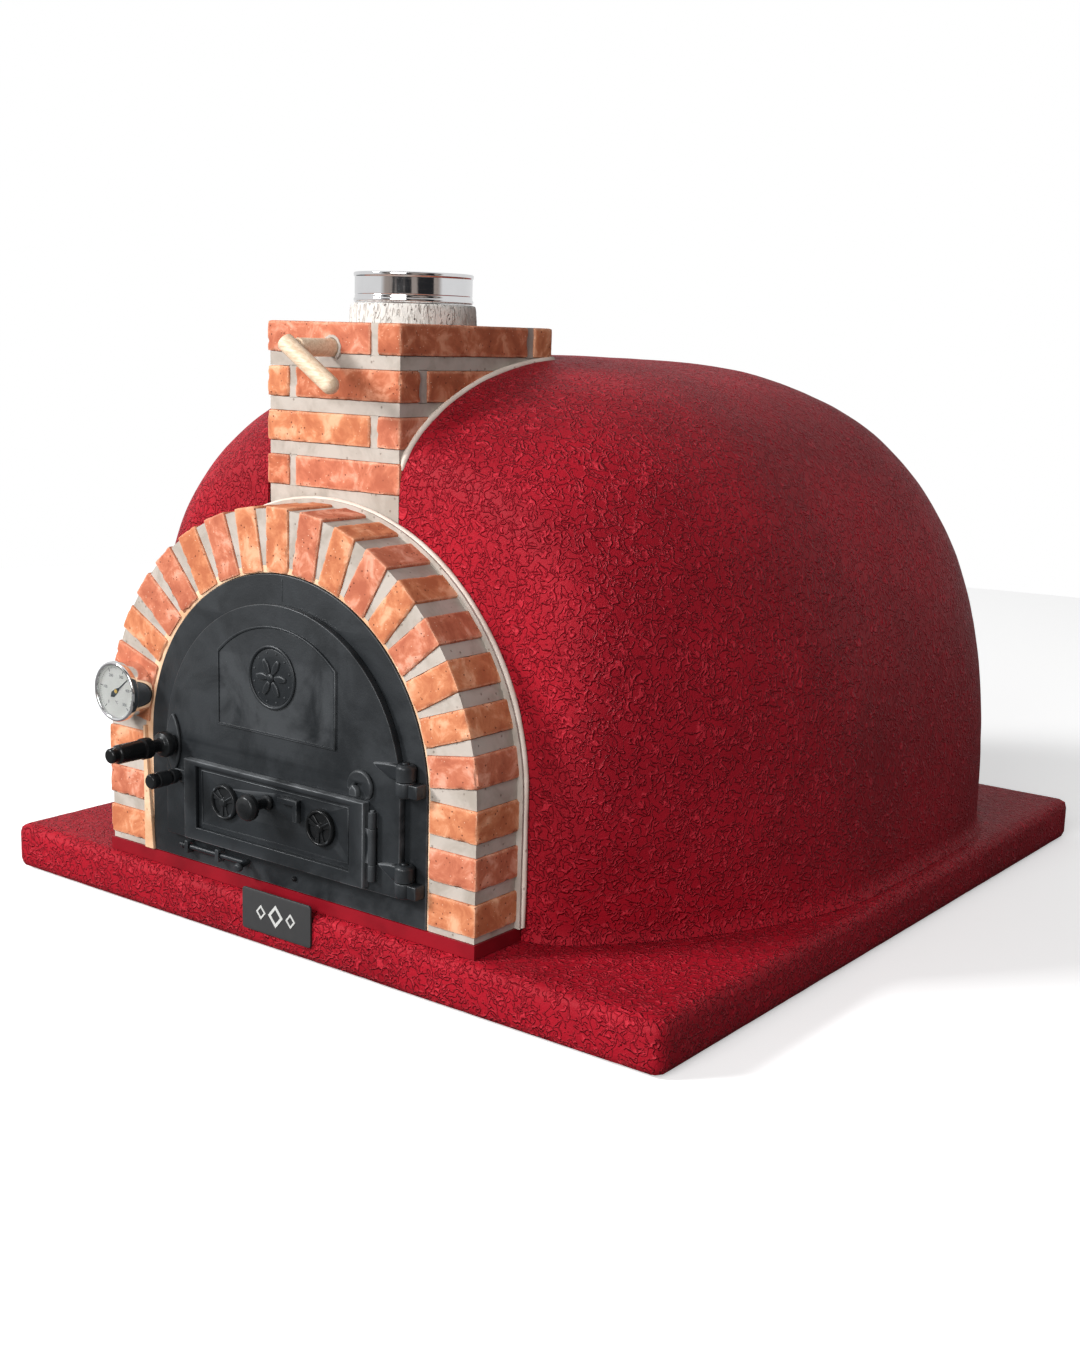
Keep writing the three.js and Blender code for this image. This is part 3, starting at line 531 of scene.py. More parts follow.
def makeClay(tone):
    made, kit, shader, place = finishMaterial(tone + "Brick", 0.82, 0.0, clay["specular"])
    grain = placeGroup(kit, gritGrain, place, Scale=clay["scale"])
    tones = clay[tone]
    base = kit.mix(kit.ramp(grain["Swirl"], 0.34, 0.58), tones["deep"], tones["body"])
    base = kit.mix(0.35, base, tones["body"])
    base = kit.mix(kit.math("MULTIPLY", kit.ramp(grain["Swirl"], 0.5, 0.68), 0.75), base, tones["pale"])
    worn = kit.add("Attribute", attribute_name="edgeWear").outputs["Fac"]
    worn = kit.math("MULTIPLY", worn, kit.ramp(grain["Fine"], 0.4, 0.7, 0.1, 0.55))
    base = kit.mix(worn, base, clay["worn"])
    base = kit.mix(kit.math("MULTIPLY", grain["Flecks"], 0.75), base, clay["fleck"])
    kit.put(shader, Base_Color=kit.mix(kit.math("MULTIPLY", grain["Pores"], 0.85), base, clay["pore"]))
    height = kit.math("ADD", kit.math("MULTIPLY", grain["Fine"], 0.5),
                      kit.math("MULTIPLY", grain["Swirl"], 1.2))
    giveBump(kit, shader, kit.math("SUBTRACT", height, grain["Pores"]), 0.7 * mm, 0.7)
    return made


mortar = {"light": (0.5, 0.445, 0.395, 1), "dark": (0.31, 0.265, 0.22, 1), "pore": (0.2, 0.16, 0.13, 1),
          "scale": 80.0}


def makeMortar(name="pointedMortar", relief=0.6, tones=mortar):
    made, kit, shader, place = finishMaterial(name, 0.86, 0.0, 0.2)
    grain = placeGroup(kit, gritGrain, place, Scale=tones["scale"])
    base = kit.mix(kit.ramp(grain["Swirl"], 0.3, 0.62), tones["dark"], tones["light"])
    base = kit.mix(0.35, base, tones["light"])
    kit.put(shader, Base_Color=kit.mix(kit.math("MULTIPLY", grain["Pores"], 0.7), base, tones["pore"]))
    height = kit.math("ADD", kit.math("MULTIPLY", grain["Fine"], 0.4),
                      kit.math("MULTIPLY", grain["Swirl"], 1.6))
    giveBump(kit, shader, kit.math("SUBTRACT", height, grain["Pores"]), relief * mm, 0.7)
    return made


# The collar's render was dragged upwards, which leaves upright tears.
def makeCollarRender():
    made, kit, shader, place = finishMaterial("draggedRender", 0.9)
    squeeze = kit.add("Mapping")
    kit.put(squeeze, Vector=place, Scale=(1.0, 1.0, 0.28))
    tears = kit.ramp(kit.noise(squeeze.outputs[0], 210.0, 2.0, 0.5, 1.2), 0.5, 0.68)
    grain = placeGroup(kit, gritGrain, place, Scale=90.0)
    base = kit.mix(kit.math("MULTIPLY", tears, 0.5), (0.68, 0.65, 0.61, 1), (0.3, 0.25, 0.21, 1))
    kit.put(shader, Base_Color=kit.mix(grain["Pores"], base, (0.12, 0.1, 0.09, 1)))
    giveBump(kit, shader, kit.math("SUBTRACT", kit.math("MULTIPLY", grain["Fine"], 0.4), tears), 1.6 * mm)
    return made


def makePaintedCement():
    made, kit, shader, place = finishMaterial("plinthPaint", 0.42, 0.0, 0.2)
    cloud = kit.noise(place, 9.0, 3.0, 0.6)
    kit.put(shader, Base_Color=kit.mix(kit.ramp(cloud, 0.3, 0.7), (0.16, 0.003, 0.008, 1),
                                       (0.27, 0.006, 0.014, 1)))
    giveBump(kit, shader, kit.noise(place, 120.0, 3.0), 0.5 * mm, 0.5)
    return made


def makeTerracotta():
    made, kit, shader, place = finishMaterial("firedLiner", 0.7)
    grain = placeGroup(kit, gritGrain, place, Scale=70.0)
    base = kit.mix(kit.ramp(grain["Swirl"], 0.3, 0.7), (0.66, 0.37, 0.2, 1), (0.86, 0.6, 0.4, 1))
    kit.put(shader, Base_Color=kit.mix(kit.math("MULTIPLY", grain["Pores"], 0.5), base,
                                       (0.3, 0.14, 0.07, 1)))
    giveBump(kit, shader, grain["Fine"], 0.4 * mm, 0.6)
    return made


def makeFirebrick():
    made, kit, shader, place = finishMaterial("refractory", 0.93)
    grain = placeGroup(kit, gritGrain, place, Scale=60.0)
    tiles = kit.add("TexBrick")
    kit.put(tiles, Vector=place, Scale=1.0, Mortar_Size=0.0016, Brick_Width=0.23, Row_Height=0.115,
            Bias=0.0,
            Color1=(0.55, 0.47, 0.34, 1), Color2=(0.62, 0.53, 0.39, 1), Mortar=(0.2, 0.16, 0.11, 1))
    soot = kit.ramp(kit.noise(place, 6.0, 4.0, 0.6), 0.4, 0.75)
    base = kit.mix(kit.math("MULTIPLY", soot, 0.55), tiles.outputs["Color"], (0.09, 0.075, 0.06, 1))
    kit.put(shader, Base_Color=kit.mix(kit.math("MULTIPLY", grain["Pores"], 0.6), base,
                                       (0.05, 0.04, 0.03, 1)))
    giveBump(kit, shader, kit.math("SUBTRACT", grain["Fine"], tiles.outputs["Fac"]), 1.0 * mm, 0.7)
    return made


def makeWool():
    made, kit, shader, place = finishMaterial("insulationWool", 0.95)
    shader.inputs["Sheen Weight"].default_value = 0.3
    fibres = kit.noise(place, 260.0, 4.0, 0.7, 3.0)
    kit.put(shader, Base_Color=kit.mix(fibres, (0.62, 0.6, 0.56, 1), (0.88, 0.87, 0.84, 1)))
    giveBump(kit, shader, fibres, 1.5 * mm)
    return made


# Each iron's third tone is a painted highlight laid on its sharp edges.
iron = {
    "cast": {"body": (0.0125, 0.0145, 0.0165, 1), "cloud": (0.0185, 0.0215, 0.0245, 1),
             "edgeHighlightTone": (0.2, 0.21, 0.22, 1), "roughness": (0.37, 0.41), "peel": 0.22},
    "dark": {"body": (0.006, 0.0065, 0.007, 1), "cloud": (0.014, 0.0155, 0.017, 1),
             "edgeHighlightTone": (0.11, 0.12, 0.13, 1), "roughness": (0.22, 0.38), "peel": 0.1},
}


def makeIron(name, tones):
    made, kit, shader, place = finishMaterial(name, 0.4, 0.15, 0.28)
    skin = placeGroup(kit, castSkin, place)
    base = kit.mix(kit.ramp(skin["Cloud"], 0.35, 0.7), tones["body"], tones["cloud"])
    # Sharp edges are mixed towards a lighter tone as a painted highlight.
    kit.put(shader, Base_Color=kit.mix(kit.math("MULTIPLY", skin["Rubbed"], 0.7), base, tones["edgeHighlightTone"]),
            Roughness=kit.ramp(skin["Cloud"], 0.3, 0.7, *tones["roughness"]))
    giveBump(kit, shader, skin["Peel"], tones["peel"] * mm, 0.6)
    return made


def makeSteel():
    made, kit, shader, place = finishMaterial("polishedSteel", 0.08, 1.0)
    stretch = kit.add("Mapping")
    kit.put(stretch, Vector=place, Scale=(6.0, 6.0, 240.0))
    drawn = kit.noise(stretch.outputs[0], 6.0, 3.0, 0.6)
    cloud = kit.noise(place, 30.0, 3.0)
    kit.put(shader, Base_Color=kit.mix(cloud, (0.72, 0.72, 0.73, 1), (0.84, 0.84, 0.85, 1)),
            Roughness=kit.ramp(drawn, 0.35, 0.7, 0.05, 0.12))
    giveBump(kit, shader, drawn, 0.04 * mm, 0.3)
    return made


def makeBeech():
    made, kit, shader, place = finishMaterial("beechRod", 0.5)
    grainFlow = kit.add("Mapping")
    kit.put(grainFlow, Vector=place, Rotation=(0.0, math.radians(33), 0.0), Scale=(0.12, 1.0, 1.0))
    rings = kit.noise(grainFlow.outputs[0], 330.0, 3.0, 0.55, 0.8)
    flecks = kit.dots(grainFlow.outputs[0], 520.0, 0.2)
    base = kit.mix(kit.ramp(rings, 0.35, 0.65), (0.66, 0.46, 0.3, 1), (0.82, 0.64, 0.47, 1))
    kit.put(shader, Base_Color=kit.mix(kit.math("MULTIPLY", flecks, 0.35), base, (0.45, 0.26, 0.14, 1)))
    giveBump(kit, shader, rings, 0.12 * mm, 0.5)
    return made


def makeDial():
    made, kit, shader, place = finishMaterial("dialEnamel", 0.4)
    cloud = kit.noise(place, 60.0, 2.0)
    kit.put(shader, Base_Color=kit.mix(cloud, (0.55, 0.55, 0.53, 1), (0.63, 0.63, 0.6, 1)))
    return made


def makeDialGlass():
    made, kit, shader, place = finishMaterial("gaugeWindow", 0.02)
    kit.put(shader, Base_Color=(0.97, 0.98, 0.98, 1), Transmission_Weight=1.0, IOR=1.12)
    smear = kit.noise(place, 40.0, 2.0)
    giveBump(kit, shader, smear, 0.02 * mm, 0.1)
    return made


def makeInk(name, color, roughness):
    made, kit, shader, place = finishMaterial(name, roughness)
    cloud = kit.noise(place, 90.0, 2.0)
    dim = tuple(c * 0.8 for c in color[:3]) + (1,)
    kit.put(shader, Base_Color=kit.mix(cloud, dim, color))
    giveBump(kit, shader, kit.noise(place, 500.0, 2.0), 0.05 * mm, 0.4)
    return made


redStucco = makeStucco(stucco)
bricks = [makeClay(tone) for tone in ("orange", "pink", "rust")]
paleMortar = makeMortar()
collarRender = makeCollarRender()
plinthPaint = makePaintedCement()
terracotta = makeTerracotta()
firebrick = makeFirebrick()
wool = makeWool()
castIron = makeIron("stovePaintIron", iron["cast"])
blackIron = makeIron("blackHandle", iron["dark"])
steel = makeSteel()
beech = makeBeech()
dialFace = makeDial()
dialGlass = makeDialGlass()
dialInk = makeInk("dialInk", (0.03, 0.04, 0.05, 1), 0.5)
plateFace = makeInk("plateBlack", (0.032, 0.032, 0.033, 1), 0.55)
plateRaised = makeInk("plateOrnament", (0.62, 0.62, 0.6, 1), 0.4)
brassTone = makeInk("needleHub", (0.75, 0.48, 0.1, 1), 0.35)
print("finishes made:", len(bpy.data.materials))


# The rendered slab and dome.
slab = {"corner": 13.0, "grid": 13.0, "unevenness": 0.5, "inset": 0.6, "seed": 3.0}


def makeSlab():
    low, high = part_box("base_slab")
    size = [(h - l) / mm - slab["inset"] for l, h in zip(low, high)]
    place = Matrix.Translation((low + high) / 2)
    mesh = blockMesh("slab_render", size, place, slab["seed"], slab["corner"], slab["grid"],
                     slab["unevenness"], chips=0.0)
    addPiece("slab_render", mesh, "oven", redStucco, ["base_slab"])


# The dome's plan goes from a pointed front to a squared back, and it closes in towards the top.
dome = {
    "shoulder": 2.65,
    "roundness": 2.97,
    "frontPower": (1.7, 3.04),
    "backPower": 6.0,
    "centreBehindFront": 0.4347,
    "frontReach": 0.588,
    "turns": 400,
    "levels": 120,
    "skin": 0.025,
    "flare": 0.009,
    "flareHeight": 0.02,
    "frontRound": 0.014,
    "waves": ((1.3, 9.0, 2.0), (0.6, 34.0, 5.0)),    # height in mm, how close together, seed
    "inside": (72, 24, 0.02),    # turns, levels and how far it reaches below the slab's top
    "mouthCut": (50, 300, 10),
    "stackCutRise": 0.124,
}
domeLow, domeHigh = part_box("outer_render")
domeHalf = (domeHigh.x - domeLow.x) / 2
domeCentreY = domeLow.y + dome["centreBehindFront"]
backReach = domeHigh.y - domeCentreY
domeRise = domeHigh.z - domeLow.z
stackLow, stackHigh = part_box("chimney_course_4")
mouthLow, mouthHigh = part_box("mouth_liner")
archCentreX = (mouthLow.x + mouthHigh.x) / 2
springZ = mouthHigh.z - (mouthHigh.x - mouthLow.x) / 2


def domeReach(share):
    return (1 - share ** dome["shoulder"]) ** (1 / dome["roundness"])


def domePoint(share, angle, inset=0.0):
    c, s = math.cos(angle), math.sin(angle)
    low, high = dome["frontPower"]
    power = low + (high - low) * share if s < 0 else dome["backPower"]
    length = (dome["frontReach"] if s < 0 else backReach) - inset
    scale = domeReach(share) * (abs(c) ** power + abs(s) ** power) ** (-1 / power)
    x, y = c * scale * (domeHalf - inset), domeCentreY + s * scale * length
    return Vector((x, y, domeLow.z + share * (domeRise - inset)))


# The front is flattened to a wall that the arch stands against, with a rounded turn into the sides.
def frontWall(y, inset=0.0):
    wall, roundness = domeLow.y + inset, dome["frontRound"]
    away = (y - wall) / roundness
    return y if away > 30 else wall + roundness * math.log1p(math.exp(away))


def domeBody(name, inset, turns, levels, foot=0.0, uneven=True):
    shares = [math.sin(level / levels * math.pi / 2) for level in range(levels)]
    shares = [0.0, 0.004, 0.009, 0.016] + [s for s in shares if s > 0.02]
    verts, faces = [], []
    for ring, share in enumerate(shares):
        for turn in range(turns):
            point = domePoint(share, (turn + 0.5) / turns * 2 * math.pi, inset)
            if uneven:
                out = Vector((point.x, point.y - domeCentreY,
                              0)).normalized() * (1 - share) + Vector((0, 0, share))
                lift = sum(rise * mm * wobble(point, close, seed) for rise, close, seed in dome["waves"])
                foldOut = max(0.0, 1 - (point.z - domeLow.z) / dome["flareHeight"])
                lift += dome["flare"] * foldOut ** 2
                point += out.normalized() * lift if share else out * dome["flare"]
            if ring == 0:
                point.z -= foot
            point.y = frontWall(point.y, inset)
            verts.append(point)
    top = len(verts)
    verts += [Vector((0, domeCentreY, domeLow.z + domeRise - inset)),
              Vector((0, domeCentreY, domeLow.z - foot))]
    for turn in range(turns):
        after = (turn + 1) % turns
        for ring in range(len(shares) - 1):
            a, b = ring * turns, (ring + 1) * turns
            faces.append((a + turn, a + after, b + after, b + turn))
        last = (len(shares) - 1) * turns
        faces += [(last + turn, last + after, top), (top + 1, after, turn)]
    return meshFrom(name, verts, faces)


def makeDome():
    turns, levels = ((dome["turns"], dome["levels"]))
    outer = domeBody("dome_render", 0.0, turns, levels)
    inner = domeBody("domeInner", dome["skin"], *dome["inside"], uneven=False)
    foot, behind, ahead = dome["mouthCut"]
    front = domeLow.y / mm
    radius = (mouthHigh.x - mouthLow.x) / 2 / mm
    outline = archOutline(archCentreX / mm, foot, springZ / mm, radius, 48)
    mouth = prismMesh("domeMouth", outline, front + behind, front - ahead)
    low = (stackLow.x, stackLow.y - 0.1, springZ + dome["stackCutRise"])
    chimney = boxMesh("domeChimney", low, (stackHigh.x, stackHigh.y, 2))
    mesh = combined("dome_render", outer, [inner, mouth, chimney], "DIFFERENCE")
    addPiece("dome_render", mesh, "oven", redStucco, ["outer_render"])


# Height of the dome's surface over a point of its plan.
def domeHeightAt(x, y):
    low, high = 0.0, 1.0
    for _ in range(40):
        share = (low + high) / 2
        away = (y - domeLow.y) / dome["frontRound"]
        s = (domeLow.y + dome["frontRound"] * math.log(math.expm1(away)) if away < 30 else y) - domeCentreY
        reachY = dome["frontReach"] if s < 0 else backReach
        lowPower, highPower = dome["frontPower"]
        power = lowPower + (highPower - lowPower) * share if s < 0 else dome["backPower"]
        size = ((abs(x) / domeHalf) ** power + (abs(s) / reachY) ** power) ** (1 / power)
        if size < domeReach(share):
            low = share
        else:
            high = share
    return domeLow.z + low * domeRise


bead = {"radius": 4.2, "stackRadius": 4.6, "sides": 12, "archRadius": 0.3235, "archFoot": 0.0835,
        "proud": 0.0025}


# A pale line of pointing where the dome meets the stack, and one round the back of the arch.
def makeBeads():
    x0, x1, y0, y1 = stackLow.x, stackHigh.x, stackLow.y, stackHigh.y
    y0 += dome["frontRound"] * 0.35
    route = [(x1, y0 + (y1 - y0) * (i / 40) ** 1.5) for i in range(41)]
    route += [(x1 + (x0 - x1) * i / 16, y1) for i in range(1, 17)]
    route += [(x0, y1 + (y0 - y1) * (i / 40) ** 0.667) for i in range(1, 41)]
    path = [Vector((x, y, domeHeightAt(x, y))) for x, y in route]
    thick = bead["stackRadius"] * mm
    mesh = sweptMesh("stack_bead", path, lambda share: thick * min(1, 0.3 + 25 * min(share, 1 - share)),
                     bead["sides"])
    addPiece("stack_bead", mesh, "oven", beadMortar)
    radius, y = bead["archRadius"], domeLow.y - bead["proud"]
    leg = np.linspace(bead["archFoot"], springZ, 16)
    arc = [Vector((archCentreX + radius, y, z)) for z in leg[:-1]]
    arc += [Vector((archCentreX + px, y, springZ + pz)) for px, pz in arcPoints(0, 0, radius, 0, 180, 80)]
    arc += [Vector((archCentreX - radius, y, z)) for z in leg[-2::-1]]
    for point in arc:
        point += Vector((wobble(point, 12, 4), 0, wobble(point, 12, 8))) * 1.6 * mm
    mesh = sweptMesh("arch_bead", arc, lambda share: bead["radius"] * mm, bead["sides"])
    addPiece("arch_bead", mesh, "oven", beadMortar)


beadTones = {"light": (0.78, 0.68, 0.6, 1), "dark": (0.6, 0.48, 0.4, 1), "pore": (0.35, 0.25, 0.2, 1),
             "scale": 60.0}
beadMortar = makeMortar("beadMortar", 0.5, beadTones)
makeSlab()
makeDome()
makeBeads()
print("slab and dome made")


# The brick arch. The door's sizes stand here because the bricks reach towards its frame.
frameLow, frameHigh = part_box("door_frame")
doorX = (frameLow.x + frameHigh.x) / 2 / mm
springLine = springZ / mm
hinge = {joint["name"]: Vector(joint.get("pos_m", (0, 0, 0))) / mm for joint in frame["joints"]}
door = {
    "frameFront": -585.5, "frameBack": -575.5, "lead": 3.0, "frameRadius": 236.0,
    "openingRadius": 178.0, "sill": 126.3, "seam": (0.6, 206, 234),
    "studs": {"frame_stud_left": (-226.0, 168.0), "frame_stud_sill": (-4.0, 99.0)},
    "leafFront": -595.8, "leafBack": -585.8, "leafRadius": 203.0, "leafBottom": 116.3,
    "window": (-156.0, 143.3, 104.0, 211.3), "notch": (20.0, 202.3, 252.3),
}

brickSkin = {"radius": 2.4, "step": 3.4, "rough": 0.7, "chips": 2.4}
archWork = {"bricks": 23, "jambs": 3, "pitch": 10.2, "length": 72.0, "depth": 77.0, "reach": 9.0,
            "joint": 3.2, "back": 6.5}
toneOrder = (0, 1, 0, 0, 1, 0, 1, 1, 0, 1, 0, 0, 1, 0, 1, 0, 1, 0, 0, 1, 0, 1, 0)


def makeArchBrick(number):
    name = f"arch_brick_{number:02d}"
    node = frame["nodes"][name]
    voussoir = number - 1 - archWork["jambs"]
    last = archWork["bricks"] - 2 * archWork["jambs"]
    over = 0 <= voussoir < last    # the others are jamb bricks
    angle = math.radians(90 - (voussoir - (last - 1) / 2) * archWork["pitch"]) if over else 0.0
    radial = Vector((math.cos(angle), 0, math.sin(angle)))
    along = Vector((-math.sin(angle), 0, math.cos(angle)))
    spread = [v.co.dot(along) for v in node.data.vertices]
    thickness = (max(spread) - min(spread)) / mm
    place = Matrix((radial, (0, 1, 0), along)).transposed().to_4x4()
    back = archWork["back"]
    inwards = 0.0
    if over:
        clear = door["frameRadius"] + archWork["joint"]
        lean = (doorX - archCentreX / mm) * math.cos(angle)
        inwards = max(0.0, min(archWork["reach"], (mouthHigh.x - mouthLow.x) / 2 / mm - clear - lean))
    place.translation = nodeCentre(name) + (Vector((0, back, 0)) - radial * inwards) * mm / 2
    size = (archWork["length"] + inwards, archWork["depth"] + back, thickness)
    mesh = blockMesh(f"brick_{number:02d}", size, place, number * 3.7, **brickSkin)
    addPiece(f"brick_{number:02d}", mesh, "oven", bricks[toneOrder[number - 1]], [name])


for number in range(1, archWork["bricks"] + 1):
    makeArchBrick(number)
for side in ("left", "right"):
    finishNode("arch_mortar_" + side, paleMortar)
finishNode("base_plinth", plinthPaint, 1.5)
finishNode("hearth_floor", firebrick, 1.5)
finishNode("inner_dome", firebrick)
finishNode("insulation_blanket", wool)


# The clay liner stops behind the iron frame, and a thin ring of the same clay closes the joint round it.
liner = {"wall": 35.0, "setBack": 10.0, "ring": (236.6, 248.6)}


def makeLiner():
    low = mouthLow.z / mm
    cx, spring = archCentreX / mm, springZ / mm
    radius = (mouthHigh.x - mouthLow.x) / 2 / mm
    front, back = mouthLow.y / mm, mouthHigh.y / mm
    inside = archOutline(cx, low, spring, radius - liner["wall"])[::-1]
    shell = plateMesh("liner", [archOutline(cx, low, spring, radius) + inside], back,
                      front + liner["setBack"], 1.0)
    addPiece("liner_arch", shell, "oven", terracotta, ["mouth_liner"])
    within, beyond = liner["ring"]
    inside = archOutline(doorX - door["lead"], low, spring, within + door["lead"])[::-1]
    shell = plateMesh("ring", [archOutline(cx, low, spring, beyond) + inside],
                      front + liner["setBack"] - 0.5, front - 0.6, 1.0)
    addPiece("frame_pointing", shell, "oven", terracotta)


# A tapered strip of fired clay packs the wider gap on the left of the door frame.
jambStrip = {"top": 250.0, "left": -282.6, "widths": (3.0, 17.0), "front": -589.5}


def makeJambStrip():
    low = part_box("door_frame")[0].z / mm
    x, (narrow, wide) = jambStrip["left"], jambStrip["widths"]
    outline = [(x, low + 0.4), (x + wide, low + 0.4), (x + narrow, jambStrip["top"]), (x, jambStrip["top"])]
    mesh = plateMesh("jamb_strip", [outline], mouthLow.y / mm - 0.2, jambStrip["front"], 0.9)
    addPiece("jamb_strip", mesh, "oven", terracotta)


makeLiner()
makeJambStrip()
print("arch made")


# The chimney.
stackSkin = {"radius": 2.6, "step": 4.0, "rough": 0.8, "chips": 2.4}
chimney = {"brick": 38.0, "bed": 3.0, "frontJoint": 11.0, "sideJoint": 13.0}


# Each course is four bricks laid pinwheel fashion, turned the other way on every second course.
def makeCourse(number):
    low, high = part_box(f"chimney_course_{number}")
    x0, y0, z0 = [v / mm for v in low]
    x1, y1, z1 = [v / mm for v in high]
    wide, front, side = chimney["brick"], chimney["frontJoint"], chimney["sideJoint"]
    plan = [(x0, y0, x1 - wide - front, y0 + wide), (x1 - wide, y0, x1, y1 - wide - side),
            (x0 + wide + front, y1 - wide, x1, y1), (x0, y0 + wide + side, x0 + wide, y1)]
    joints = [(x1 - wide - front, y0, x1 - wide, y0 + wide), (x1 - wide, y1 - wide - side, x1, y1 - wide),
              (x0 + wide, y1 - wide, x0 + wide + front, y1), (x0, y0 + wide, x0 + wide, y0 + wide + side)]
    if number % 2 == 0:
        plan = [(x0 + x1 - b, a, x0 + x1 - c, d) for c, a, b, d in plan]
        joints = [(x0 + x1 - b, a, x0 + x1 - c, d) for c, a, b, d in joints]
    for place, (ax, ay, bx, by) in enumerate(plan):
        centre = Matrix.Translation(Vector(((ax + bx) / 2, (ay + by) / 2, (z0 + z1) / 2)) * mm)
        seed = number * 11.3 + place * 4.1
        name = f"stack_brick_{number}{'abcd'[place]}"
        mesh = blockMesh(name, (bx - ax, by - ay, z1 - z0), centre, seed, **stackSkin)
        if number == 1 and place == 0:
            mesh = combined(name, mesh, [rodBore()], "DIFFERENCE")
        addPiece(name, mesh, "oven", bricks[(number + place) % 3])
    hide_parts(f"chimney_course_{number}")
    bed = chimney["bed"]
    fills = []
    for ax, ay, bx, by in joints:
        low = Vector((max(ax - 1, x0 + bed), max(ay - 1, y0 + bed), z0 - 1)) * mm
        high = Vector((min(bx + 1, x1 - bed), min(by + 1, y1 - bed), z1 if number == 1 else z1 + 1)) * mm
        fills.append(boxMesh("fill", low, high))
    addPiece(f"stack_joints_{number}", joinedMesh(f"stack_joints_{number}", fills), "oven", paleMortar)


def rodBore():
    low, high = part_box("damper_rod")
    centre = (low + high) / 2 / mm
    radius = (high.x - low.x) / 2 / mm + 2.2
    return turnedMesh("rodBore", barProfile(radius, 0, 90), (centre.x, low.y / mm + 20, centre.z),
                      (0, 1, 0), 32)


for number in range(1, 5):
    makeCourse(number)
finishNode("chimney_mortar", paleMortar)

flue = {"outer": 75.0, "inner": 72.0, "collarWall": 5.5, "rows": 9, "turns": 160}


def makeFlue():
    low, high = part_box("flue_pipe")
    centre = (low + high) / 2 / mm
    rise = (high.z - low.z) / mm
    outer, inner = flue["outer"], flue["inner"]
    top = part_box("flue_collar")[1].z / mm - low.z / mm
    pipe = [(inner, 0.2), (outer, 0.2), (outer, top + 1), (outer + 1.3, top + 2.5), (outer + 1.3, top + 5),
            (outer, top + 6.5), (outer, top + 9), (outer - 0.6, top + 10), (outer, top + 11),
            (outer, rise - 6),
            (outer + 1.3, rise - 4.5), (outer + 1.3, rise - 1.2), (outer, rise), (inner, rise),
            (inner, 0.2)]
    mesh = turnedMesh("flue_steel", pipe, (centre.x, centre.y, low.z / mm), (0, 0, 1), 128, 0.7, 30)
    addPiece("flue_steel", mesh, "oven", steel, ["flue_pipe"])
    wall = flue["collarWall"]
    verts, faces = [], []
    rows, turns = flue["rows"], flue["turns"]
    for side in (0, 1):
        for row in range(rows + 1):
            z = row / rows
            for turn in range(turns):
                a = 2 * math.pi * turn / turns
                spot = Vector((math.cos(a), math.sin(a), z * 0.3))
                reach = outer + 0.25
                if side == 0:
                    tear = wobble(Vector((spot.x, spot.y, z * 0.12)), 14, 3) + 0.6 * wobble(spot, 40, 6)
                    reach += wall * (1.05 - 0.5 * z ** 3) + 0.9 * tear
                height = z * (top - 0.4) + 0.1
                if row == rows and side == 0:
                    height -= 0.8
                verts.append(Vector((centre.x + math.cos(a) * reach, centre.y + math.sin(a) * reach,
                                     low.z / mm + height)) * mm)
    ring = (rows + 1) * turns
    for turn in range(turns):
        after = (turn + 1) % turns
        for row in range(rows):
            a, b = row * turns, (row + 1) * turns
            faces.append((a + turn, a + after, b + after, b + turn))
            faces.append((ring + a + after, ring + a + turn, ring + b + turn, ring + b + after))
        last = rows * turns
        faces.append((last + turn, last + after, ring + last + after, ring + last + turn))
        faces.append((after, turn, ring + turn, ring + after))
    addPiece("collar_render", meshFrom("collar_render", verts, faces, 60), "oven", collarRender,
             ["flue_collar"])


makeFlue()


damper = {"drop": 33.0, "crank": 77.0, "collarWidth": 4.5}


def makeDamper():
    low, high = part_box("damper_rod")
    centre = (low + high) / 2 / mm
    radius = (high.x - low.x) / 2 / mm
    length = (high.y - low.y) / mm
    mesh = turnedMesh("damper_dowel", barProfile(radius, 0, length), (centre.x, high.y / mm, centre.z),
                      (0, -1, 0), 48, 1.2)
    addPiece("damper_dowel", mesh, "damper", beech, ["damper_rod"])
    crankLow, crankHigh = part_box("damper_crank")
    y = (crankLow.y + crankHigh.y) / 2 / mm
    drop = math.radians(damper["drop"])
    heading = Vector((math.cos(drop), 0, -math.sin(drop)))
    start = Vector((centre.x, y, centre.z)) - heading * radius
    end = radius + damper["crank"] + radius
    tip = [(radius * math.sin(a), end - radius + radius * math.cos(a))
           for a in np.linspace(math.pi / 2, 0, 9)]
    tip[-1] = (0, end)
    handle = [(0, 0), (radius, 0), (radius, end * 0.4)] + tip
    mesh = turnedMesh("damper_handle", handle, start, heading, 48, 0.9, 60)
    addPiece("damper_handle", mesh, "damper", beech, ["damper_crank"])
    finishNode("damper_plate", castIron, 0.5)
    x, z = centre.x, centre.z
    reach = radius + damper["collarWidth"]
    outline = [(x + px * (1 + 0.06 * wobble(Vector((px, pz, 0)), 0.3, 2)), z + pz)
               for px, pz in arcPoints(0, 0, reach, -60, 215, 40)]
    outline += [(x + px, z + pz) for px, pz in arcPoints(0, 0, radius + 0.8, 215, -60, 40)]
    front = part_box("chimney_course_1")[0].y / mm
    mesh = plateMesh("rod_pointing", [outline], front + 6, front - 1.2, 0.7, 60)
    addPiece("rod_pointing", mesh, "oven", paleMortar)


makeDamper()
print("chimney made")


# The iron door frame and leaf.
def ironPlate(name, body, outlines, back, front, edge=0.8, sharp=32, replaced=()):
    mesh = plateMesh(name, outlines, back, front, edge, sharp)
    addPiece(name, mesh, body, castIron, replaced)


